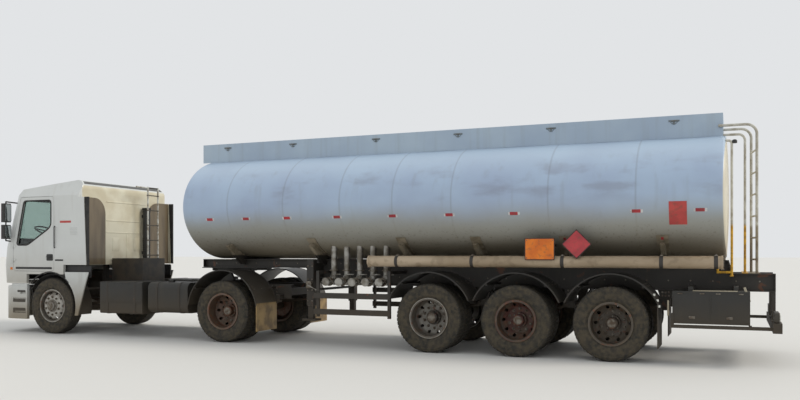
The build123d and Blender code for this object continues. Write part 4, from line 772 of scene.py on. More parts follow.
HUB = {"twin": (0.012, 0.070, 0.150), "single": (0.108, 0.130, 0.166)}
for axle_name in rim_looks:
    for side_name, side in SIDES:
        single = axle_name == "front"
        body = f"{axle_name}_{side_name}_wheel" + ("" if single else "s")
        tyre_node = f"{axle_name}_{side_name}_tyre" + ("" if single else "s")
        rim_node = f"{axle_name}_{side_name}_rim" + ("" if single else "s")
        low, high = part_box(tyre_node)
        axle_y = (low[1] + high[1]) / 2
        centres = [axle_y] if single else [axle_y - 0.170, axle_y + 0.170]
        made = [tyre((middle(rim_node)[0], y), side, not single) for y in centres]
        rubber = piece(f"{tyre_node}_tread", body, "tyre", "tyre", *[m[0] for m in made], crease=32.0,
                       mud=np.concatenate([m[1] for m in made]))
        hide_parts(tyre_node)
        face, hub_face, cap_face = HUB["single" if single else "twin"]
        centre = np.array([middle(rim_node)[0], axle_y, WHEEL_R])
        ring = np.arange(10) * 2 * math.pi / 10 + 0.31
        seat = centre + np.stack([0.1675 * np.cos(ring), np.full(10, side * face), 0.1675 * np.sin(ring)], -1)
        nut = turned([(0.025, 0), (0.025, 0.004), (0.0185, 0.006), (0.0185, 0.022), (0.015, 0.025), (0.011, 0.0255),
                      (0.011, 0.036), (0.009, 0.038)], (0, 0, 0), "Y", 6, flip=side)
        ring = np.arange(8) * 2 * math.pi / 8
        hub_at = centre + np.stack([0.098 * np.cos(ring), np.full(8, side * hub_face), 0.098 * np.sin(ring)], -1)
        cap = turned([(0.062, 0.0), (0.062, 0.004), (0.050, 0.008), (0.020, 0.010), (0.001, 0.010)],
                     centre + (0, side * (cap_face - 0.0005), 0), "Y", 24, flip=side)
        stem = rod(rounded([centre + (0.0, side * (face + 0.002), 0.222), centre + (0.0, side * (face + 0.030), 0.222),
                            centre + (0.0, side * (face + 0.055), 0.205)], 0.015), 0.005, (1, 0, 0), 6)
        piece(f"{axle_name}_{side_name}_nuts", body, "bare_steel", "worn_steel", repeated(nut, seat),
              bolts(hub_at, "Y", 0.009, 0.008, side), cap, stem)


# Barrel: an oval carried along X, dished at both ends, with weld beads at the seams and slightly wavy plates
tank_low, tank_high = (np.array(v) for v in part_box("tank"))
TANK_Z = (tank_low[2] + tank_high[2]) / 2
TANK_W = (tank_high[1] - tank_low[1]) / 2
TANK_H = (tank_high[2] - tank_low[2]) / 2
HEAD = 0.076
barrel_front, barrel_rear = tank_low[0] + HEAD, tank_high[0] - HEAD
seams = [barrel_front, *SEAMS[1:-1], barrel_rear]


def barrel():
    """Each ring is the oval scaled by a share; beads swell it by 1.5 mm and the plates sink by up to 3 mm."""
    knee = (TANK_W - 0.064) / TANK_W
    head_share = np.array([0.004, 0.12, 0.3, 0.5, 0.7, 0.86, knee, 0.966, 0.983, 0.995, 0.9992])
    crown = 1 - (head_share / knee) ** 2
    bend = np.array([0, 0, 0, 0, 0, 0, 0, 0.0085, 0.019, 0.031, 0.042])
    head_x = np.where(head_share <= knee, 0.046 + 0.030 * crown, 0.046 - bend)
    bead = np.array([-0.012, -0.006, -0.003, 0.0, 0.003, 0.006, 0.012])
    swell = np.array([0, 0, 0.0009, 0.0015, 0.0009, 0, 0])
    along, share, lift = [barrel_front - head_x], [head_share], [np.zeros(len(head_x))]
    for i, seam in enumerate(seams):
        if i in (0, len(seams) - 1):
            along.append(seam + np.array([0.0]))
            share.append(np.ones(1))
            lift.append(np.zeros(1))
        else:
            along.append(seam + bead)
            share.append(np.ones(len(bead)))
            lift.append(swell)
        if i < len(seams) - 1:
            between = np.linspace(seam, seams[i + 1], 12)[1:-1]
            along.append(between)
            share.append(np.ones(len(between)))
            lift.append(np.zeros(len(between)))
    along.append(barrel_rear + head_x[::-1])
    share.append(head_share[::-1])
    lift.append(np.zeros(len(head_x)))
    along, share, lift = (np.concatenate(v)[:, None] for v in (along, share, lift))
    angle = (np.arange(192) * 2 * math.pi / 192)[None]
    phase = np.interp(along, seams, np.arange(len(seams)))
    plate = np.sin(math.pi * phase) ** 2
    wave = plate * (1 + np.sin(3 * angle + 1.7 * phase) * np.cos(5 * angle - 0.8 * phase)) * 0.0015
    wave = wave * (share > 0.9999)
    out = lift - wave
    return np.stack([along + 0 * angle, (TANK_W * share + out) * np.cos(angle),
                     TANK_Z + (TANK_H * share + out) * np.sin(angle)], -1)


def oval_y(z, out=0.0):
    """How far out the barrel's side is at a height."""
    return (TANK_W + out) * np.sqrt(1 - ((np.asarray(z) - TANK_Z) / (TANK_H + out)) ** 2)


def on_barrel(x_low, x_high, z_low, z_high, side, lift=0.0016):
    """A thin sheet that lies on the barrel's side: its outer face follows the oval a little further out."""
    z = np.linspace(z_low, z_high, 9)
    outer = np.stack([z, oval_y(z, lift)], -1)
    inner = np.stack([z, oval_y(z, -0.004)], -1)[::-1]
    loop = np.concatenate([outer, inner])
    xs = np.linspace(x_low, x_high, 5)
    rings = np.zeros((len(xs), len(loop), 3))
    rings[..., 0] = xs[:, None]
    rings[..., 1] = side * loop[:, 1]
    rings[..., 2] = loop[:, 0]
    return skin(rings)


def oval_ring(x, r):
    """A round bead carried round the oval at one place along the barrel."""
    angle = np.arange(160) * 2 * math.pi / 160
    path = np.stack([np.full(160, x), (TANK_W - r) * np.cos(angle), TANK_Z + (TANK_H - r) * np.sin(angle)], -1)
    return carried(circle(r, 8), path, (1, 0, 0), looped=True)


shell = piece("tank_barrel", "trailer", "tank_paint", "tank_paint", skin(barrel()), crease=50.0)
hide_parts("tank")
piece("tank_head_beads", "trailer", "tank_paint", "tank_paint",
      oval_ring(barrel_front + 0.002, 0.006), oval_ring(barrel_rear - 0.002, 0.006))

tape_z = (2.068, 2.112)
tape_xs = [3.596, 4.323, 5.115, 6.033, 6.996, 7.925, 8.920, 10.639, 11.461]
for side_name, side in SIDES:
    tapes = [on_barrel(aft(x) - 0.062, aft(x) + 0.054, *tape_z, side) for x in tape_xs]
    piece(f"tank_{side_name}_red_tapes", "trailer", "tank_paint", "red_tape", *tapes)
    tapes = [on_barrel(aft(x) + start, aft(x) + end, *tape_z, side)
             for x in tape_xs for start, end in ((-0.086, -0.063), (0.055, 0.084))]
    piece(f"tank_{side_name}_white_tapes", "trailer", "tank_paint", "white_tape", *tapes)
    piece(f"tank_{side_name}_red_sheet", "trailer", "tank_paint", "faded_sign",
          on_barrel(aft(11.06), aft(11.29), 1.90, 2.21, side))

# Signs hung outside the hose tubes, all blank: an orange plate and a red diamond, each with a dark edge
SIGN_Y = 1.1985


def flat_sign(outline, side, y, thick):
    """An outline in X and Z with rounded corners, carried through a thin sheet."""
    ring = rounded(outline, 0.012, 4, closed=True)
    rings = np.stack([np.column_stack([ring[:, 0], np.full(len(ring), side * level), ring[:, 1]])
                      for level in (y, y + thick)])
    return skin(rings)


def lozenge(x, z, half):
    return [(x - half, z), (x, z - half), (x + half, z), (x, z + half)]


def oblong(low_x, high_x, low_z, high_z):
    return [(low_x, low_z), (high_x, low_z), (high_x, high_z), (low_x, high_z)]


for side_name, side in SIDES:
    x0, x1, z0, z1 = aft(9.075), aft(9.51), 1.414, 1.730
    piece(f"{side_name}_sign_backs", "trailer", "chassis_paint", "sign_edge",
          flat_sign(oblong(x0, x1, z0, z1), side, SIGN_Y, 0.003),
          flat_sign(lozenge(aft(9.82), 1.64, 0.212), side, SIGN_Y, 0.003))
    piece(f"{side_name}_orange_sign", "trailer", "tank_paint", "orange_sign",
          flat_sign(oblong(x0 + 0.012, x1 - 0.012, z0 + 0.012, z1 - 0.012), side, SIGN_Y + 0.003, 0.0015))
    piece(f"{side_name}_red_sign", "trailer", "tank_paint", "red_sign",
          flat_sign(lozenge(aft(9.82), 1.64, 0.194), side, SIGN_Y + 0.003, 0.0015))
    stays = []
    for x in (x0 + 0.06, x1 - 0.06, aft(9.82) - 0.05, aft(9.82) + 0.05):
        reach = float(oval_y(1.62)) - 0.01
        stays.append(slab((x - 0.012, side * reach, 1.605), (x + 0.012, side * SIGN_Y, 1.635), "Y", 0.004, 0.001))
        stays.append(slab((x - 0.012, side * 1.10, 1.455), (x + 0.012, side * SIGN_Y, 1.475), "Y", 0.004, 0.001))
    fix = [(x, side * (SIGN_Y + 0.0045), z) for x in (x0 + 0.03, x1 - 0.03) for z in (z0 + 0.03, z1 - 0.03)]
    piece(f"{side_name}_sign_stays", "trailer", "bare_steel", "worn_steel", *stays,
          bolts(fix, "Y", 0.006, 0.004, side))

# Trough: a rolled lip, drain marks with small lamps, a grating to walk on and fittings round each neck
trough_low, trough_high = (np.array(v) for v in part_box("trough"))
rim_z = trough_high[2]
lip_path = rounded([(trough_low[0] + 0.008, trough_low[1] + 0.006, rim_z - 0.007),
                    (trough_high[0] - 0.008, trough_low[1] + 0.006, rim_z - 0.007),
                    (trough_high[0] - 0.008, trough_high[1] - 0.006, rim_z - 0.007),
                    (trough_low[0] + 0.008, trough_high[1] - 0.006, rim_z - 0.007)], 0.03, 4, closed=True)
piece("trough_lip", "trailer", "tank_paint", "trough_paint", carried(circle(0.007, 8), lip_path, (0, 0, 1), True))
mark_xs = [3.435, 4.784, 6.371, 7.808, 9.299, 11.076]
for side_name, side in SIDES:
    wall = side * trough_high[1]
    base, lens = [], []
    for x in (aft(v) for v in mark_xs):
        for half, out, bottom, top, corner in ((0.075, 0.006, 0.088, 0.062, 0.006),
                                               (0.016, 0.008, 0.128, 0.088, 0.004)):
            base.append(slab((x - half, wall - side * 0.004, rim_z - bottom),
                             (x + half, wall + side * out, rim_z - top), "Y", corner, 0.002))
        for far, near in ((x - 0.05, x - 0.02), (x + 0.05, x + 0.02)):
            base.append(rod([(far, wall, rim_z - 0.09), (near, wall + side * 0.004, rim_z - 0.12)], 0.004))
        lens.append(slab((x - 0.035, wall + side * 0.004, rim_z - 0.083), (x + 0.035, wall + side * 0.016, rim_z - 0.067),
                         "Y", 0.006, 0.004))
    piece(f"trough_{side_name}_lamp_seats", "trailer", "black_plastic", "lamp_seat", *base)
    piece(f"trough_{side_name}_lamps", "trailer", "lamp_glass", "smoke_lens", *lens)
neck_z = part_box("manhole_lid_1")[0][2]
neck_xs = [float(middle(f"manhole_lid_{i}")[0]) - 0.0175 for i in range(1, 6)]
BAR_Z = 3.262  # top of the grating's bars
grate = []
for side in (-1.0, 1.0):
    for y in (0.285, 0.322, 0.359, 0.396):
        grate.append(slab((trough_low[0] + 0.06, side * y - 0.003, BAR_Z - 0.014),
                          (trough_high[0] - 0.06, side * y + 0.003, BAR_Z), "Z", 0.001, 0.001, 2))
    tread = slab((-0.004, side * 0.272, BAR_Z - 0.010), (0.004, side * 0.408, BAR_Z + 0.001), "Z", 0.001, 0.001, 2)
    tread_xs = np.arange(trough_low[0] + 0.08, trough_high[0] - 0.08, 0.06)
    grate.append(repeated(tread, np.stack([tread_xs, 0 * tread_xs, 0 * tread_xs], -1)))
piece("walkway_grating", "trailer", "pale_paint", "grating", *grate)
flange, clamps = [], []
for x in neck_xs:
    flange.append(turned([(0.249, 0.0), (0.272, 0.0), (0.272, 0.010), (0.249, 0.010)],
                         (x, 0, neck_z - 0.016), "Z", 48, True))
    for turn in np.arange(7) * 2 * math.pi / 8 + math.pi / 4:
        foot = np.array([x + 0.274 * math.cos(turn), 0.274 * math.sin(turn), neck_z - 0.045])
        clamps.append(rod([foot, foot + (0, 0, 0.042)], 0.006, (1, 0, 0), 6))
        clamps.append(slab(foot + (-0.014, -0.014, 0.008), foot + (0.014, 0.014, 0.022), "Z", 0.003, 0.002, 3))
piece("neck_flanges", "trailer", "tank_paint", "trough_paint", *flange)
piece("neck_swing_bolts", "trailer", "bare_steel", "worn_steel", *clamps)
for i in range(5):
    low, high = (np.array(v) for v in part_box(f"manhole_lid_{i + 1}"))
    x, top, crown = neck_xs[i], low[2] + 0.0296, high[2]
    ring = turned([(0.243, 0.0), (0.243, 0.0035), (0.232, 0.006), (0.221, 0.0035), (0.221, 0.0)],
                  (x, 0, top - 0.001), "Z", 48, True)
    turn = np.arange(12) * 2 * math.pi / 12
    studs = bolts(np.stack([x + 0.205 * np.cos(turn), 0.205 * np.sin(turn), np.full(12, top)], -1), "Z", 0.008, 0.008)
    grip_path = [(x - 0.2, y, top + rise) for y, rise in ((-0.07, 0), (-0.07, 0.026), (0.07, 0.026), (0.07, 0))]
    grip = rod(rounded(grip_path, 0.012), 0.006, (1, 0, 0), 8)
    latch = slab((x - 0.075, -0.018, crown - 0.004), (x + 0.075, 0.018, crown + 0.012), "Z", 0.008, 0.004)
    knob = turned([(0.030, 0), (0.034, 0.006), (0.030, 0.018), (0.012, 0.022), (0.001, 0.022)],
                  (x, 0.06, crown - 0.001), "Z", 20)
    piece(f"manhole_lid_{i + 1}_fittings", f"manhole_lid_{i + 1}", "bare_steel", "worn_steel",
          ring, studs, grip, latch, knob)


# Cab: glass seals, handles, lamps, wipers, mirror faces, panel ribs and the wheel-arch lips
SCREEN_LOW = np.array([aft(-1.275), 0.0, 1.640])
SCREEN_RUN = np.array([0.310, 0.0, 1.000])
SCREEN_OUT = np.array([-1.000, 0.0, 0.310]) / np.hypot(1.0, 0.310)
SCREEN_UP = SCREEN_RUN / np.linalg.norm(SCREEN_RUN)
SCREEN_MID = SCREEN_LOW + SCREEN_RUN / 2
CAB_HALF = 1.220


def on_screen(across, up, lift=0.0):
    """A point on the windscreen's plane, from its middle."""
    return SCREEN_MID + np.array([0.0, across, 0.0]) + up * SCREEN_UP + lift * SCREEN_OUT


def seal_profile(width, high):
    """A rubber section: flat underneath and bowed on top."""
    turn = np.linspace(0, math.pi, 7)
    top = np.stack([width / 2 * np.cos(turn), high * np.sin(turn) ** 0.8], -1)
    return np.concatenate([top, [[-width / 2, -0.004], [width / 2, -0.004]]])


screen_ring = rounded([on_screen(y, u) for y, u in ((-1.02, -0.44), (1.02, -0.44), (1.02, 0.44), (-1.02, 0.44))],
                      0.085, 7, closed=True)
piece("windscreen_seal", "cab", "rubber", "rubber", carried(seal_profile(0.036, 0.008), screen_ring, SCREEN_OUT, True))
wipers = []
for foot_y, tip_y in ((-0.22, -0.66), (0.34, -0.02), (0.90, 0.62)):
    foot, tip = on_screen(foot_y, -0.475, 0.018), on_screen(tip_y, -0.395, 0.014)
    wipers.append(turned([(0.020, -0.016), (0.020, 0.006), (0.012, 0.012), (0.001, 0.012)], foot, "X", 16, flip=-1.0))
    arm = [foot, (foot + tip) / 2 + 0.004 * SCREEN_OUT, tip]
    wipers.append(carried(box_outline(0.018, 0.008, 0.003, 3), arm, SCREEN_OUT))
    for k in (-1.0, 1.0):
        reach = 0.20 * k * (0.94 * np.array([0, 1, 0]) + 0.06 * SCREEN_UP)
        wipers.append(rod([tip, tip + reach - 0.006 * SCREEN_OUT], 0.004, SCREEN_OUT, 6))
    blade = [tip - 0.012 * SCREEN_OUT + k * np.array([0, 0.29, 0]) + k * 0.02 * SCREEN_UP for k in (-1.0, 0.0, 1.0)]
    wipers.append(carried(box_outline(0.012, 0.014, 0.003, 3), blade, SCREEN_OUT))
piece("wipers", "cab", "black_plastic", "black_plastic", *wipers)


def cab_line(side, *corners):
    """Points from their distance behind the axle, their distance out from the cab's side and their height."""
    return [(aft(x), side * (CAB_HALF + out), z) for x, out, z in corners]


def cab_plate(side, start, end, bottom, top, out, corner, edge, sunk=0.001):
    """A plate on the cab's side, sunk a little into the wall and standing out from it."""
    return slab(*cab_line(side, (start, -sunk, bottom), (end, out, top)), "Y", corner, edge)


window = [(-0.880, 1.675), (-0.600, 1.675), (-0.060, 1.985), (-0.005, 2.060), (-0.005, 2.515), (-0.690, 2.515)]
for side_name, side in SIDES:
    door_body = f"{side_name}_door"
    ring = rounded(cab_line(side, *[(x, 0.0002, z) for x, z in window]), 0.06, 6, closed=True)
    piece(f"{side_name}_window_seal", door_body, "rubber", "rubber",
          carried(seal_profile(0.030, 0.006), ring, (0, side, 0), True))
    dish = cab_plate(side, -0.115, 0.045, 1.375, 1.500, 0.003, 0.02, 0.0015)
    hold_path = cab_line(side, (-0.100, 0.002, 1.448), (-0.092, 0.024, 1.448),
                         (0.022, 0.024, 1.448), (0.030, 0.002, 1.448))
    hold = carried(box_outline(0.030, 0.012, 0.005, 4), rounded(hold_path, 0.02), (0, 0, 1))
    lock = turned([(0.012, 0), (0.012, 0.006), (0.009, 0.008), (0.001, 0.008)],
                  (aft(-0.035), side * CAB_HALF, 1.398), "Y", 16, flip=side)
    piece(f"{side_name}_door_handle", door_body, "black_plastic", "black_plastic", dish, hold, lock)
    strip = cab_plate(side, -0.90, 0.02, 1.215, 1.255, 0.006, 0.01, 0.004)
    piece(f"{side_name}_door_strip", door_body, "black_plastic", "black_plastic", strip)
    slot = cab_plate(side, 0.10, 0.30, 1.372, 1.402, 0.003, 0.008, 0.0015)
    vents = [cab_plate(side, 0.46, 0.64, 1.86 + 0.03 * k, 1.874 + 0.03 * k, 0.004, 0.005, 0.002) for k in range(5)]
    piece(f"{side_name}_locker_slot", "cab", "black_plastic", "black_plastic", slot)
    piece(f"{side_name}_cab_vents", "cab", "cab_paint", "cab_trim", *vents)
    piece(f"{side_name}_cab_tape", "cab", "cab_paint", "faded_sign",
          cab_plate(side, 0.22, 0.49, 2.085, 2.125, 0.0015, 0.003, 0.0005, sunk=0.002))
    turn = np.radians(np.linspace(4, 158, 40))
    arch = np.stack([aft(-0.03) + 0.634 * np.cos(turn), np.full(40, side * (CAB_HALF + 0.002)),
                     WHEEL_R + 0.634 * np.sin(turn)], -1)
    above_skirt = arch[arch[:, 2] > 0.95]
    piece(f"{side_name}_arch_lip", "cab", "rubber", "rubber",
          carried(box_outline(0.022, 0.012, 0.004, 3), above_skirt, (0, side, 0)))
    piece(f"{side_name}_side_indicator", "cab", "lamp_glass", "amber",
          cab_plate(side, -1.045, -0.985, 1.20, 1.25, 0.004, 0.01, 0.004, sunk=0.030))
    grab_path = cab_line(side, (0.095, -0.004, 1.62), (0.095, 0.022, 1.62), (0.095, 0.022, 2.02), (0.095, -0.004, 2.02))
    grab = rod(rounded(grab_path, 0.02), 0.009, (1, 0, 0), 8)
    piece(f"{side_name}_grab_handle", "cab", "black_plastic", "black_plastic", grab)
    glass, edge = [], []
    for low_z, high_z in ((1.79, 2.06), (2.11, 2.47)):
        glass.append(slab((aft(-0.9615), side * 1.281, low_z + 0.018),
                          (aft(-0.9585), side * 1.409, high_z - 0.018), "X", 0.02, 0.001))
        bottom, top = low_z + 0.013, high_z - 0.013
        frame_path = [(aft(-0.9605), side * y, z)
                      for y, z in ((1.276, bottom), (1.414, bottom), (1.414, top), (1.276, top))]
        edge.append(carried(circle(0.004, 6), rounded(frame_path, 0.025, 5, closed=True), (1, 0, 0), True))
    piece(f"{side_name}_mirror_glass", "cab", "bare_steel", "mirror", *glass)
    piece(f"{side_name}_mirror_edges", "cab", "rubber", "rubber", *edge)

ribs = []
for z in (1.92, 2.15, 2.51):
    ribs.append(slab((aft(0.717), -0.56, z - 0.012), (aft(0.726), 0.56, z + 0.012), "X", 0.012, 0.006))
ribs.append(slab((aft(0.717), -0.012, 1.36), (aft(0.725), 0.012, 1.90), "X", 0.012, 0.006))
ribs += [slab((aft(0.717), y - 0.10, 1.56), (aft(0.724), y + 0.10, 1.82), "X", 0.02, 0.005) for y in (-0.3, 0.3)]
piece("back_wall_ribs", "cab", "cab_paint", "cab_paint", *ribs)
roof_lamps, roof_seats = [], []
for y in (-0.86, -0.30, 0.30, 0.86):
    x, z = aft(-0.83), 2.737
    roof_seats.append(slab((x - 0.055, y - 0.045, z - 0.03), (x + 0.055, y + 0.045, z + 0.012), "Z", 0.02, 0.006))
    roof_lamps.append(slab((x - 0.045, y - 0.036, z + 0.008), (x + 0.040, y + 0.036, z + 0.034), "Z", 0.02, 0.014))
piece("roof_lamp_seats", "cab", "black_plastic", "black_plastic", *roof_seats)
piece("roof_marker_lamps", "cab", "lamp_glass", "amber", *roof_lamps)
hatch = slab((aft(-0.35), -0.33, 2.800), (aft(0.25), 0.33, 2.848), "Z", 0.06, 0.014)
hatch[0][:, 2] += ROOF_RISE * (hatch[0][:, 0] - aft(-0.05))
piece("roof_hatch", "cab", "cab_paint", "cab_trim", hatch)

# Front: louvres with a dark plate behind the grille's slots, a rail, bumper mesh, lamps, steps and a blank plate
nose = aft(-1.330)
panel_front, panel_back = (v[0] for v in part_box("front_panel"))
louvre = [slab((panel_front + 0.016, -0.70, 1.035 + 0.062 * k), (panel_front + 0.060, 0.70, 1.043 + 0.062 * k),
               "Y", 0.003, 0.002) for k in range(7)]
louvre.append(slab((panel_back + 0.002, -0.86, 1.00), (panel_back + 0.008, 0.86, 1.55), "X", 0.02, 0.002))
piece("grille_louvres", "cab", "black_plastic", "black_plastic", *louvre)
rail_path = [(nose + back, y, 1.50) for back, y in ((0.04, -0.35), (0.012, -0.35), (0.012, 0.35), (0.04, 0.35))]
piece("front_grab_rail", "cab", "black_plastic", "black_plastic", rod(rounded(rail_path, 0.02), 0.010, (0, 0, 1), 10))
piece("front_blank_plate", "tractor", "pale_paint", "blank_plate",
      slab((nose + 0.0005, -0.20, 0.64), (nose + 0.006, 0.20, 0.77), "X", 0.008, 0.002))
plate_frame = carried(box_outline(0.010, 0.006, 0.002, 3),
                      rounded([(nose + 0.004, -0.205, 0.635), (nose + 0.004, 0.205, 0.635), (nose + 0.004, 0.205, 0.775),
                               (nose + 0.004, -0.205, 0.775)], 0.012, 4, closed=True), (-1, 0, 0), True)
mesh_bars = [slab((nose + 0.045, -0.31 + 0.062 * k, 0.41), (nose + 0.055, -0.302 + 0.062 * k, 0.55), "X", 0.002, 0.001)
             for k in range(11)]
mesh_bars += [slab((nose + 0.040, -0.325, 0.43 + 0.035 * k), (nose + 0.050, 0.325, 0.436 + 0.035 * k), "X", 0.002, 0.001)
              for k in range(4)]
mesh_bars.append(slab((nose + 0.075, -0.34, 0.39), (nose + 0.083, 0.34, 0.57), "X", 0.01, 0.002))
piece("bumper_trim", "tractor", "black_plastic", "black_plastic", plate_frame, *mesh_bars)

BUMPER_HALF, BUMPER_R = 1.220, 0.370


def bumper_front(y, inset):
    """How far forward the bumper's plan reaches at a place across: straight, then a corner arc."""
    r = BUMPER_R - inset
    over = np.maximum(np.abs(y) - (BUMPER_HALF - BUMPER_R), 0.0)
    return nose + inset + r - np.sqrt(r * r - over ** 2)


LAMP_Z = 0.695


def bumper_strip(profile, ys, inset, z=LAMP_Z):
    """A profile (height, depth) carried level along the bumper's front, an inset behind its face."""
    return carried(profile, np.stack([bumper_front(ys, inset), ys, np.full(len(ys), z)], -1), (-1, 0, 0))


for side_name, side in SIDES:
    ys = side * np.linspace(0.684, 0.976, 15)
    lens = bumper_strip(box_outline(0.182, 0.004, 0.0015, 3), ys, 0.013)
    lens_piece = piece(f"{side_name}_headlamp_lens", "tractor", "lamp_glass", "lamp_glass", lens)
    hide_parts("headlamps")
    tray = bumper_strip(box_outline(0.186, 0.010, 0.003, 3), ys, 0.044)
    walls = [bumper_strip(box_outline(0.004, 0.030, 0.001, 3), ys, 0.029, z) for z in (0.605, 0.785)]
    piece(f"{side_name}_headlamp_tray", "tractor", "black_plastic", "black_plastic", tray, *walls)
    bowls, bulbs = [], []
    for y, r in ((0.752, 0.062), (0.862, 0.052)):
        back = float(bumper_front(np.array(y), 0.036))
        bowl = [(r, 0.010), (r + 0.003, 0.008), (0.75 * r, -0.006),
                (0.3 * r, -0.010), (0.28 * r, -0.006), (0.72 * r, -0.001)]
        bowls.append(turned(bowl, (back - 0.004, side * y, LAMP_Z), "X", 32, True, flip=-1.0))
        bulbs.append(turned([(0.014, -0.012), (0.014, 0.004), (0.009, 0.009), (0.001, 0.010)],
                            (back - 0.002, side * y, LAMP_Z), "X", 16, flip=-1.0))
    piece(f"{side_name}_headlamp_bowls", "tractor", "bare_steel", "chrome", *bowls)
    piece(f"{side_name}_headlamp_bulbs", "tractor", "lamp_glass", "white_lens", *bulbs)
    piece(f"{side_name}_front_indicator", "tractor", "lamp_glass", "amber",
          bumper_strip(box_outline(0.150, 0.010, 0.004, 3), ys[-4:], 0.030))
    fog = (nose + 0.0065, side * 0.52, 0.42)
    piece(f"{side_name}_fog_lamp_bezel", "tractor", "black_plastic", "black_plastic",
          turned([(0.050, -0.002), (0.062, -0.002), (0.062, 0.004), (0.056, 0.006), (0.050, 0.004)],
                 fog, "X", 32, True, flip=-1.0))
    piece(f"{side_name}_fog_lamp", "tractor", "lamp_glass", "white_lens",
          turned([(0.050, -0.002), (0.049, 0.002), (0.030, 0.005), (0.001, 0.006)], fog, "X", 32, flip=-1.0))
    treads = [slab((aft(-0.97), side * 1.190, z + 0.001), (aft(-0.64), side * 1.214, z + 0.007), "Z", 0.003, 0.002)
              for z in (0.372, 0.628)]
    piece(f"{side_name}_step_treads", "tractor", "bare_steel", "worn_steel", *treads)
    # Painted shade: thin dark panels on the bumper's step slots stand for the shade inside recessed wells.
    well_shades = [slab((aft(x), side * 1.2185, low), (aft(-0.650), side * 1.2215, high), "Y", 0.014, 0.001)
             for x, low, high in ((-0.975, 0.415, 0.470), (-0.975, 0.580, 0.628), (-0.860, 0.770, 0.810))]
    piece(f"{side_name}_step_well_shades", "tractor", "black_plastic", "black_plastic", *well_shades)
    fill = slab((aft(-1.02), side * 1.150, 0.800), (aft(-0.625), side * 1.208, 0.936), "X", 0.01, 0.003)
    piece(f"{side_name}_step_filler", "tractor", "cab_paint", "cab_trim", fill)
    # Painted shade: a black sheet set back under the cab's side, behind the front wheel, stands for the shade there.
    shade = slab((aft(0.16), side * 1.120, 1.060), (aft(0.895), side * 1.150, 1.288), "Y", 0.03, 0.004)
    turn = np.radians(np.linspace(52, 150, 34))[:, None]
    lining = np.array([(0.596, 0.60), (0.600, 0.60), (0.600, 1.165), (0.596, 1.165)])
    ring = np.stack([aft(-0.03) + lining[None, :, 0] * np.cos(turn), side * lining[None, :, 1] + 0 * turn,
                     WHEEL_R + lining[None, :, 0] * np.sin(turn)], -1)
    turn = np.radians(np.linspace(50, 130, 30))
    arc = np.stack([aft(-0.03) + 0.600 * np.cos(turn), WHEEL_R + 0.600 * np.sin(turn)], -1)
    cheek = np.stack([np.column_stack([arc[:, 0], np.full(30, side * y), arc[:, 1]]) for y in (0.598, 0.602)])
    piece(f"{side_name}_arch_liner_and_shade", "tractor", "black_plastic", "black_plastic", skin(ring), skin(cheek), shade)

# Inside the cab: padded seats blown up as cloth, on boxes
PAD_VOXEL = 0.010
SEAT_X, SEAT_Z = aft(-0.33), 1.35


def inflated(surface, swell):
    """A pad's closed form on an even grid, blown up as cloth, with no point moved further than swell."""
    mesh = bpy.data.meshes.new("pad_form")
    mesh.from_pydata(surface[0].tolist(), [], surface[1].tolist() + surface[2].tolist())
    form = bpy.data.objects.new("pad_form", mesh)
    bpy.context.scene.collection.objects.link(form)
    grid = form.modifiers.new("grid", "REMESH")
    grid.mode = "VOXEL"
    grid.voxel_size = PAD_VOXEL
    depsgraph = bpy.context.evaluated_depsgraph_get()
    even = bpy.data.meshes.new_from_object(form.evaluated_get(depsgraph))
    form.modifiers.clear()
    form.data = even
    rest = np.empty(3 * len(even.vertices), np.float32)
    even.vertices.foreach_get("co", rest)
    rest = rest.reshape(-1, 3).astype(float)
    moved = rest
    cloth = form.modifiers.new("cloth", "CLOTH")
    cloth.settings.use_pressure = True
    cloth.settings.uniform_pressure_force = 4.0
    cloth.settings.effector_weights.gravity = 0.0
    for step in range(1, 21):
        bpy.context.scene.frame_set(step)
    blown = form.evaluated_get(bpy.context.evaluated_depsgraph_get()).to_mesh()
    moved = np.empty(3 * len(blown.vertices), np.float32)
    blown.vertices.foreach_get("co", moved)
    moved = moved.reshape(-1, 3).astype(float)
    form.modifiers.clear()
    bpy.context.scene.frame_set(1)
    shift = moved - rest
    length = np.linalg.norm(shift, axis=1, keepdims=True)
    shift *= np.minimum(1.0, swell / np.maximum(length, 1e-9))
    corners = np.empty(len(even.loops), np.int32)
    even.loops.foreach_get("vertex_index", corners)
    totals = np.empty(len(even.polygons), np.int32)
    even.polygons.foreach_get("loop_total", totals)
    bpy.data.objects.remove(form)
    quads = corners.reshape(-1, 4) if (totals == 4).all() else None
    return rest + shift, quads, np.zeros((0, 3), int)


def sewn(points, axis, lines, depth=0.006, width=0.010):
    """Sinks a pad's face along straight seams: a bell curve of the given depth about each line."""
    along = points[:, axis]
    dip = sum(np.exp(-((along - line) / width) ** 2) for line in lines)
    return dip * depth


seat_cushion = slab((SEAT_X - 0.255, -0.225, SEAT_Z + 0.305), (SEAT_X + 0.20, 0.225, SEAT_Z + 0.410), "Z", 0.07, 0.045)
cushion = inflated(seat_cushion, 0.012)
cushion_points = cushion[0].copy()
top = np.clip((cushion_points[:, 2] - (SEAT_Z + 0.36)) / 0.03, 0, 1)
cushion_points[:, 2] -= top * sewn(cushion_points, 1, (-0.13, 0.13))
cushion_points[:, 2] -= top * sewn(cushion_points, 0, (SEAT_X - 0.10, SEAT_X + 0.06), 0.004)
back_form = slab((-0.050, -0.215, 0.0), (0.050, 0.215, 0.62), "X", 0.09, 0.042)
backrest = inflated(back_form, 0.012)
back_points = backrest[0].copy()
front = np.clip((-back_points[:, 0] - 0.02) / 0.02, 0, 1)
back_points[:, 0] += front * sewn(back_points, 1, (-0.12, 0.12))
back_points[:, 0] += front * sewn(back_points, 2, (0.16, 0.32, 0.48), 0.004)
lean = math.radians(13.0)
BACK_FOOT = (SEAT_X + 0.205, SEAT_Z + 0.43)


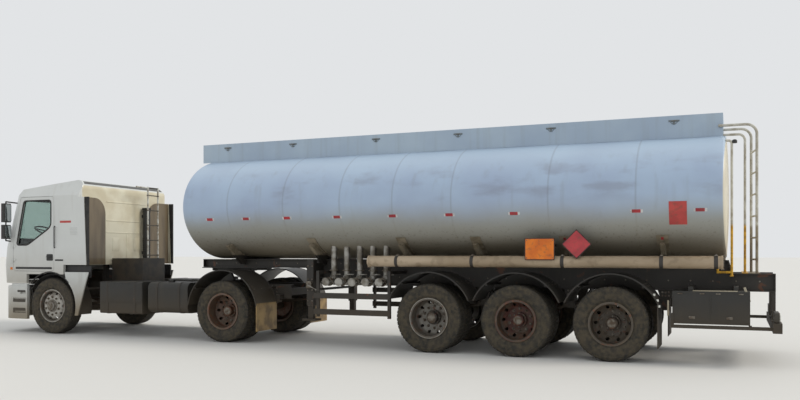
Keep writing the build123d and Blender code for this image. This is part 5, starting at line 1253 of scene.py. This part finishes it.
def tipped(points, x, z):
    """Points turned backwards about Y by the seat's lean, then moved."""
    return np.stack([x + points[:, 0] * math.cos(lean) + points[:, 2] * math.sin(lean), points[:, 1],
                     z - points[:, 0] * math.sin(lean) + points[:, 2] * math.cos(lean)], -1)


for side_name, side in SIDES:
    y = side * 0.56
    place = np.array([0.0, y, 0.0])
    pad = piece(f"{side_name}_seat_cushion", "cab", "seat_cloth", "seat_cloth",
                (cushion_points + place, cushion[1], cushion[2]), crease=180)
    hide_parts("seats")
    pad = piece(f"{side_name}_seat_back", "cab", "seat_cloth", "seat_cloth",
                (tipped(back_points, *BACK_FOOT) + place, backrest[1], backrest[2]), crease=180)
    head = slab((-0.035, -0.13, 0.0), (0.035, 0.13, 0.155), "X", 0.05, 0.030)
    head = (tipped(head[0] + (0, 0, 0.63), *BACK_FOOT) + place, head[1], head[2])
    pad = piece(f"{side_name}_head_rest", "cab", "seat_cloth", "seat_cloth", head, crease=80)
    base = [slab((SEAT_X - 0.17, y - 0.18, SEAT_Z + 0.002), (SEAT_X + 0.18, y + 0.18, SEAT_Z + 0.03), "Z", 0.02, 0.004),
            slab((SEAT_X - 0.13, y - 0.14, SEAT_Z + 0.03), (SEAT_X + 0.14, y + 0.14, SEAT_Z + 0.25), "Z", 0.05, 0.01),
            slab((SEAT_X - 0.24, y - 0.22, SEAT_Z + 0.25), (SEAT_X + 0.19, y + 0.22, SEAT_Z + 0.31), "Z", 0.04, 0.012)]
    shell_path = tipped(np.array([[0.058, 0.0, 0.02], [0.058, 0.0, 0.60]]), *BACK_FOOT) + place
    base.append(carried(box_outline(0.38, 0.016, 0.006, 3), shell_path, (1, 0, 0)))
    piece(f"{side_name}_seat_base", "cab", "black_plastic", "black_plastic", *base)

# Tractor: tank straps and fillers, battery covers, the intake duct's bellows and slats, and guard edges and bolts
side_low, side_high = (np.array(v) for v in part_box("side_tanks"))
for side_name, side in SIDES:
    outer = side * side_high[1]
    straps = []
    for x, bottom, corner in ((1.30, 0.420, 0.03), (1.93, 0.420, 0.03), (2.42, 0.460, 0.11), (2.90, 0.460, 0.11)):
        mid_y, mid_z = (0.500 + side_high[1]) / 2, (1.000 + bottom) / 2
        loop = box_outline(side_high[1] - 0.500 + 0.006, 1.000 - bottom + 0.006, corner + 0.003, 7)
        loop = np.stack([np.full(len(loop), aft(x)), side * mid_y + loop[:, 0], mid_z + loop[:, 1]], -1)
        straps.append(carried(box_outline(0.006, 0.050, 0.002, 3), loop, (1, 0, 0), True))
    piece(f"{side_name}_tank_straps", "tractor", "chassis_paint", "chassis_paint", *straps)
    filler = turned([(0.052, 0.0), (0.052, 0.028), (0.060, 0.030), (0.060, 0.052), (0.052, 0.058), (0.001, 0.060)],
                    (aft(2.62), side * 0.98, 0.995), "Z", 28)
    piece(f"{side_name}_tank_filler", "tractor", "black_plastic", "black_plastic", filler)
    lid = slab((aft(1.15), outer - side * 0.002, 0.62), (aft(2.08), outer + side * 0.004, 0.985), "Y", 0.02, 0.003)
    hinges = [slab((aft(x), outer, 0.955), (aft(x) + 0.06, outer + side * 0.008, 0.980), "Y", 0.004, 0.002)
              for x in (1.42, 1.60, 1.75)]
    piece(f"{side_name}_battery_cover", "tractor", "tank_black", "tank_black", lid, *hinges)

duct_x = aft(0.814)
rings = [turned([(0.0715, -0.008), (0.0765, -0.004), (0.0765, 0.004), (0.0715, 0.008), (0.069, 0.0)],
                (duct_x, 0.470, z), "Z", 36, True) for z in np.arange(1.46, 1.86, 0.045)]
piece("intake_duct_bellows", "cab", "rubber", "rubber", *rings)
louvres = [slab((duct_x - 0.066, 0.402, 2.352 + 0.014 * k), (duct_x + 0.066, 0.538, 2.357 + 0.014 * k), "Z", 0.01, 0.001)
           for k in range(5)]
piece("intake_duct_slats", "cab", "black_plastic", "black_plastic", *louvres)


def guard_edges(side, centre_x, low_turn, high_turn, steps):
    """Rolled edges of one wheel guard, an arc on its inner side and one on its outer side."""
    turn = np.radians(np.linspace(low_turn, high_turn, steps))
    for y in (0.588, 1.238):
        line = np.stack([centre_x + 0.700 * np.cos(turn), np.full(steps, side * y), WHEEL_R + 0.700 * np.sin(turn)], -1)
        yield carried(circle(0.009, 8), line, (0, 1, 0))


for side_name, side in SIDES:
    piece(f"{side_name}_drive_guard_edges", "tractor", "black_plastic", "trailer_guard",
          *guard_edges(side, DRIVE_AXLE, 8, 172, 60))
    edges = [edge for x in TRAILER_AXLES for edge in guard_edges(side, x, 24, 156, 50)]
    piece(f"{side_name}_trailer_guard_edges", "trailer", "black_plastic", "trailer_guard", *edges)
    stays = []
    for centre_x, turns in [(DRIVE_AXLE, (35, 145))] + [(x, (50, 130)) for x in TRAILER_AXLES]:
        for degrees in turns:
            at = math.radians(degrees)
            spots = [(centre_x + 0.704 * math.cos(at + d), side * y, WHEEL_R + 0.704 * math.sin(at + d))
                     for d in (-0.035, 0.035) for y in (0.70, 0.92, 1.14)]
            stays.append((centre_x == DRIVE_AXLE, bolts(spots, "Z", 0.010, 0.008)))
    piece(f"{side_name}_drive_guard_bolts", "tractor", "bare_steel", "worn_steel", *[s for own, s in stays if own])
    piece(f"{side_name}_trailer_guard_bolts", "trailer", "bare_steel", "worn_steel", *[s for own, s in stays if not own])

# Frames: rows of bolt heads on rails, beams and hangers, spring clips and brake chambers
RAIL_Y = 0.430  # outer face of the tractor's rails
AXLE_STEP = 1.35
heads = []
for side in (-1.0, 1.0):
    spots = [(aft(x) + d, side * RAIL_Y, z)
             for x in (0.56, 1.33, 2.35, 3.30, 4.40) for d in (-0.05, 0.05) for z in (0.78, 0.84, 0.90)]
    spots += [(aft(x), side * RAIL_Y, 0.93) for x in np.arange(-0.9, 4.6, 0.35)]
    heads.append(bolts(spots, "Y", 0.011, 0.010, side))
piece("tractor_rail_bolts", "tractor", "bare_steel", "worn_steel", *heads)
heads = []
hanger_xs = [TRAILER_AXLES[0] + (i - 0.5) * AXLE_STEP for i in range(4)]
for side in (-1.0, 1.0):
    spots = [(x + dx, side * 0.500, z) for x in hanger_xs for dx in (-0.045, 0.0, 0.045) for z in (0.90, 0.95)]
    heads.append(bolts(spots, "Y", 0.012, 0.010, side))
    spots = [(aft(x), side * 0.456, 1.12) for x in np.arange(5.6, 12.3, 0.30)]
    heads.append(bolts(spots, "Y", 0.009, 0.008, side))
    spots = [(aft(x), side * 0.456, 1.34) for x in np.arange(3.2, 11.6, 0.42)]
    heads.append(bolts(spots, "Y", 0.009, 0.008, side))
piece("trailer_frame_bolts", "trailer", "bare_steel", "worn_steel", *heads)
clips, chambers = [], []
for centre_x in TRAILER_AXLES:
    for side in (-1.0, 1.0):
        for x in (centre_x - 0.075, centre_x + 0.075):
            bow = [(x, side * y, z) for y, z in ((0.400, 0.46), (0.400, 0.668), (0.500, 0.668), (0.500, 0.46))]
            clips.append(rod(rounded(bow, 0.03), 0.010, (1, 0, 0), 8))
        clips.append(slab((centre_x - 0.11, side * 0.385, 0.445), (centre_x + 0.11, side * 0.515, 0.463), "Z", 0.01, 0.004))
        y = side * 0.27
        chambers.append(turned([(0.060, -0.105), (0.078, -0.090), (0.078, -0.010), (0.090, -0.006), (0.090, 0.006),
                                (0.078, 0.010), (0.078, 0.070), (0.050, 0.092), (0.001, 0.095)],
                               (centre_x - 0.21, y, 0.60), "X", 28))
        chambers.append(rod([(centre_x - 0.12, y, 0.60), (centre_x + 0.02, y, 0.60)], 0.012, (0, 0, 1), 8))
        chambers.append(slab((centre_x - 0.125, y - 0.05, 0.515), (centre_x - 0.105, y + 0.05, 0.66), "X", 0.01, 0.003))
piece("trailer_spring_clips", "trailer", "axle_iron", "axle_iron", *clips)
piece("trailer_brake_chambers", "trailer", "axle_iron", "axle_iron", *chambers)

# Air tanks between the trailer's beams
air = [turned([(0.05, -0.34), (0.10, -0.325), (0.12, -0.29), (0.12, 0.29), (0.10, 0.325), (0.05, 0.34), (0.001, 0.345)],
              (aft(6.25), y, 1.155), "X", 36) for y in (-0.20, 0.20)]
piece("trailer_air_tanks", "trailer", "tank_black", "tank_black", *air)

# Hose tubes: end caps with a hinge and latch, and pads of the saddles with their bolts
tube_low, tube_high = (np.array(v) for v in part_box("hose_tubes"))
tube_z = float(tube_low[2] + tube_high[2]) / 2
for side_name, side in SIDES:
    y = side * 1.100
    caps = []
    for x, flip in ((aft(6.548), -1.0), (aft(11.742), 1.0)):
        caps.append(turned([(0.080, -0.001), (0.080, 0.004), (0.060, 0.008), (0.001, 0.009)],
                           (x, y, tube_z), "X", 32, flip=flip))
        caps.append(slab((x - 0.02, y - 0.03, tube_z + 0.078), (x + 0.02, y + 0.03, tube_z + 0.096), "X", 0.006, 0.003))
        caps.append(slab((x - 0.03, y - 0.018, tube_z - 0.100), (x + 0.012, y + 0.018, tube_z - 0.080), "X", 0.005, 0.003))
    piece(f"{side_name}_tube_caps", "trailer", "bare_steel", "worn_steel", *caps)
    clamps = []
    for x in STRAP_XS:
        clamps.append(slab((x - 0.020, side * 1.06, tube_z + 0.084), (x + 0.020, side * 1.14, tube_z + 0.100),
                           "Z", 0.006, 0.003))
        clamps.append(bolts([(x, side * y, tube_z + 0.100) for y in (1.075, 1.125)], "Z", 0.007, 0.008))
    piece(f"{side_name}_tube_clamps", "trailer", "bare_steel", "worn_steel", *clamps)
    spots = [on_barrel(aft(x) - 0.018, aft(x) + 0.018, 1.70, 1.735, side, 0.0165) for x in (9.607, 10.957)]
    piece(f"{side_name}_pad_spots", "trailer", "tank_paint", "red_tape", *spots)

# Vent valve: a small dark cap on top of the vent pipe
vent = turned([(0.026, 0.0), (0.034, 0.004), (0.034, 0.036), (0.022, 0.050), (0.001, 0.054)],
              (aft(11.88), -0.62, 3.030), "Z", 24)
piece("vent_valve", "trailer", "black_plastic", "black_plastic", vent)

# Landing legs: gearbox, crank and bolts
leg_x = aft(5.34)
gears = []
for side in (-1.0, 1.0):
    spots = [(leg_x + dx, side * 0.842, z) for dx in (-0.04, 0.04) for z in (0.72, 0.90, 1.08, 1.30)]
    gears.append(bolts(spots, "Y", 0.010, 0.008, side))
    gears.append(slab((leg_x - 0.05, side * 0.840, 0.93), (leg_x + 0.05, side * 0.900, 1.05), "Y", 0.02, 0.008))
    gears.append(slab((leg_x - 0.056, side * 0.724, 0.635), (leg_x + 0.056, side * 0.836, 0.660), "Z", 0.008, 0.004))
crank_path = [(leg_x, -0.89, 0.985), (leg_x, -0.93, 0.985), (leg_x + 0.02, -0.95, 0.985),
              (leg_x + 0.20, -0.95, 0.90), (leg_x + 0.20, -1.03, 0.90)]
piece("landing_gear_fittings", "trailer", "bare_steel", "worn_steel", *gears)
piece("landing_gear_crank", "trailer", "bare_steel", "bare_steel", rod(rounded(crank_path, 0.02), 0.009, (0, 0, 1), 8))

# Discharge valves: flange bolts, hand levers and cam levers on the couplings
levers, rings = [], []
angle = np.arange(6) * 2 * math.pi / 6
for i in range(5):
    x = aft(5.750 + 0.237 * i)
    rings.append(turned([(0.048, -0.008), (0.078, -0.008), (0.078, 0.008), (0.048, 0.008)],
                        (x, -0.76, 1.23), "Z", 28, True))
    spots = np.stack([x + 0.064 * np.cos(angle), -0.76 + 0.064 * np.sin(angle), np.full(6, 1.238)], -1)
    rings.append(bolts(spots, "Z", 0.007, 0.007))
    rings.append(turned([(0.046, -0.008), (0.072, -0.008), (0.072, 0.008), (0.046, 0.008)],
                        (x, -0.93, 1.05), "Y", 28, True))
    lever = rounded([(x, -0.88, 1.09), (x, -0.88, 1.15), (x + 0.12, -0.90, 1.17), (x + 0.19, -0.90, 1.17)], 0.02)
    levers.append(rod(lever, 0.008, (0, 1, 0), 8))
    for k in (-1.0, 1.0):
        cam = [(x + k * reach, y, 1.05) for reach, y in ((0.062, -1.055), (0.084, -1.055), (0.084, -1.000))]
        levers.append(rod(rounded(cam, 0.012), 0.006, (0, 0, 1), 8))
    levers.append(turned([(0.052, 0.0), (0.052, 0.004), (0.030, 0.007), (0.001, 0.008)],
                         (x, -1.074, 1.05), "Y", 24, flip=-1.0))
piece("valve_flanges", "trailer", "bare_steel", "worn_steel", *rings)
piece("valve_levers", "trailer", "bare_steel", "bare_steel", *levers)

# Tool boxes: door seams, hinges, handles and a pale lip; rear lamps, blank boards, and small white pieces that paint
# glints on the guards
BOX_Y = 1.150  # outer face of the tool boxes
for side_name, side in SIDES:
    doors = [slab((aft(start), side * (BOX_Y - 0.002), 0.585), (aft(end), side * (BOX_Y + 0.004), 0.965), "Y", 0.015, 0.003)
             for start, end in ((11.120, 11.575), (11.595, 12.050))]
    piece(f"{side_name}_tool_box_doors", "trailer", "tank_black", "tank_black", *doors)
    fittings = []
    for x in (aft(v) for v in (11.20, 11.48, 11.68, 11.96)):
        hinge = [(x - 0.03, side * (BOX_Y + 0.006), 0.968), (x + 0.03, side * (BOX_Y + 0.006), 0.968)]
        fittings.append(rod(hinge, 0.007, (0, 0, 1), 8))
    for x in (aft(v) for v in (11.35, 11.82)):
        fittings.append(slab((x - 0.04, side * BOX_Y, 0.630), (x + 0.04, side * (BOX_Y + 0.010), 0.665), "Y", 0.008, 0.003))
        handle = [(x + d, side * (BOX_Y + out), 0.648)
                  for d, out in ((-0.03, 0.008), (-0.03, 0.020), (0.03, 0.020), (0.03, 0.008))]
        fittings.append(rod(rounded(handle, 0.008), 0.004, (0, 0, 1), 6))
    piece(f"{side_name}_tool_box_fittings", "trailer", "bare_steel", "worn_steel", *fittings)
    lip = slab((aft(11.36), side * 1.100, 0.998), (aft(11.92), side * 1.146, 1.012), "Z", 0.008, 0.004)
    slant = carried(box_outline(0.030, 0.012, 0.004, 3),
                    [(aft(12.00), side * 1.128, 1.06), (aft(12.065), side * 1.128, 0.872)], (0, side, 0))
    post = slab((aft(11.035), side * 1.140, 0.662), (aft(11.060), side * 1.165, 0.872), "Z", 0.006, 0.003)
    piece(f"{side_name}_tool_box_rails", "trailer", "pale_paint", "pale_paint", lip, slant, post)
    # Painted glints: small white reflector pieces at the guard's rear edge stand for bright glints.
    glint_pieces = [slab((aft(x), side * 1.200, z - 0.016), (aft(x) + 0.030, side * 1.240, z + 0.016), "X", 0.006, 0.004)
                   for x, z in ((10.858, 0.945), (10.902, 0.868), (10.922, 0.790))]
    piece(f"{side_name}_guard_glint_pieces", "trailer", "lamp_glass", "white_lens", *glint_pieces)

tail = aft(12.450)
for side_name, side in SIDES:
    piece(f"{side_name}_rear_lamp_seat", "trailer", "black_plastic", "black_plastic",
          slab((tail - 0.095, side * 0.74, 0.598), (tail - 0.030, side * 1.15, 0.735), "X", 0.02, 0.006))
    for lamp, look, near, far in (("rear_stop_lamp", "red_lens", 0.755, 0.905), ("rear_indicator", "amber", 0.912, 1.020),
                                  ("reversing_lamp", "white_lens", 1.027, 1.135)):
        piece(f"{side_name}_{lamp}", "trailer", "lamp_glass", look,
              slab((tail - 0.034, side * near, 0.615), (tail - 0.016, side * far, 0.720), "X", 0.015, 0.008))
plate_back = slab((tail - 0.080, -0.24, 0.600), (tail - 0.055, 0.24, 0.760), "X", 0.01, 0.004)
piece("rear_plate_back", "trailer", "black_plastic", "black_plastic", plate_back)
piece("rear_blank_plate", "trailer", "pale_paint", "blank_plate",
      slab((tail - 0.056, -0.20, 0.620), (tail - 0.051, 0.20, 0.750), "X", 0.008, 0.002))

# Mast: collars at the rungs' ends, and three blanking couplings on their plate
mast_bits = []
for y in (0.280, 0.580):
    for z in (1.18, 1.48, 1.78, 2.08, 2.38, 2.68):
        mast_bits.append(turned([(0.018, -0.014), (0.022, -0.012), (0.022, 0.012), (0.018, 0.014)],
                                (aft(1.01), y, z), "Z", 20, True))
for k in range(3):
    mast_bits.append(turned([(0.016, -0.02), (0.024, -0.018), (0.024, 0.02), (0.016, 0.03), (0.001, 0.031)],
                            (aft(1.035), 0.33 + 0.10 * k, 1.36), "X", 20))
mast_bits.append(slab((aft(1.0), 0.27, 1.325), (aft(1.03), 0.59, 1.395), "X", 0.01, 0.004))
piece("mast_fittings", "tractor", "bare_steel", "worn_steel", *mast_bits)

# Floor and light: a pale floor, an even sky and a low warm sun from behind on the far side
floor_mesh = bpy.data.meshes.new("floor")
far = 400.0
floor_mesh.from_pydata([(-far, -far, 0), (far, -far, 0), (far, far, 0), (-far, far, 0)], [], [(0, 1, 2, 3)])
floor = bpy.data.objects.new("floor", floor_mesh)
bpy.context.scene.collection.objects.link(floor)
floor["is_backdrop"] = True
ground = Finish("pale_floor", 0.9)
ground.colour(srgb(214, 212, 208))
floor.data.materials.append(ground.material)

world = bpy.data.worlds.new("studio")
bpy.context.scene.world = world
world.use_nodes = True
sky = world.node_tree
sky.nodes.clear()
path = sky.nodes.new("ShaderNodeLightPath")
seen = sky.nodes.new("ShaderNodeMath")
seen.operation = "MAXIMUM"
through = sky.nodes.new("ShaderNodeMath")
through.operation = "MAXIMUM"
sky.links.new(path.outputs["Is Camera Ray"], seen.inputs[0])
sky.links.new(path.outputs["Is Glossy Ray"], seen.inputs[1])
sky.links.new(seen.outputs[0], through.inputs[0])
sky.links.new(path.outputs["Is Transmission Ray"], through.inputs[1])
lit = sky.nodes.new("ShaderNodeBackground")
lit.inputs["Color"].default_value = (0.95, 0.98, 1.0, 1.0)
lit.inputs["Strength"].default_value = 0.85
shown = sky.nodes.new("ShaderNodeBackground")
shown.inputs["Color"].default_value = srgb(226, 228, 230)
mix = sky.nodes.new("ShaderNodeMixShader")
sky.links.new(through.outputs[0], mix.inputs[0])
sky.links.new(lit.outputs[0], mix.inputs[1])
sky.links.new(shown.outputs[0], mix.inputs[2])
out = sky.nodes.new("ShaderNodeOutputWorld")
sky.links.new(mix.outputs[0], out.inputs[0])

sun_data = bpy.data.lights.new("key", "SUN")
sun_data.energy = 1.6
sun_data.angle = math.radians(20)
sun_data.color = (1.0, 0.95, 0.86)
sun = bpy.data.objects.new("key", sun_data)
bpy.context.scene.collection.objects.link(sun)
sun.rotation_euler = Vector((0.80, 0.20, 0.62)).to_track_quat("Z", "Y").to_euler()

low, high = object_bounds()
{"cad": [list(cad_low), list(cad_high)], "visual": [list(low), list(high)]}
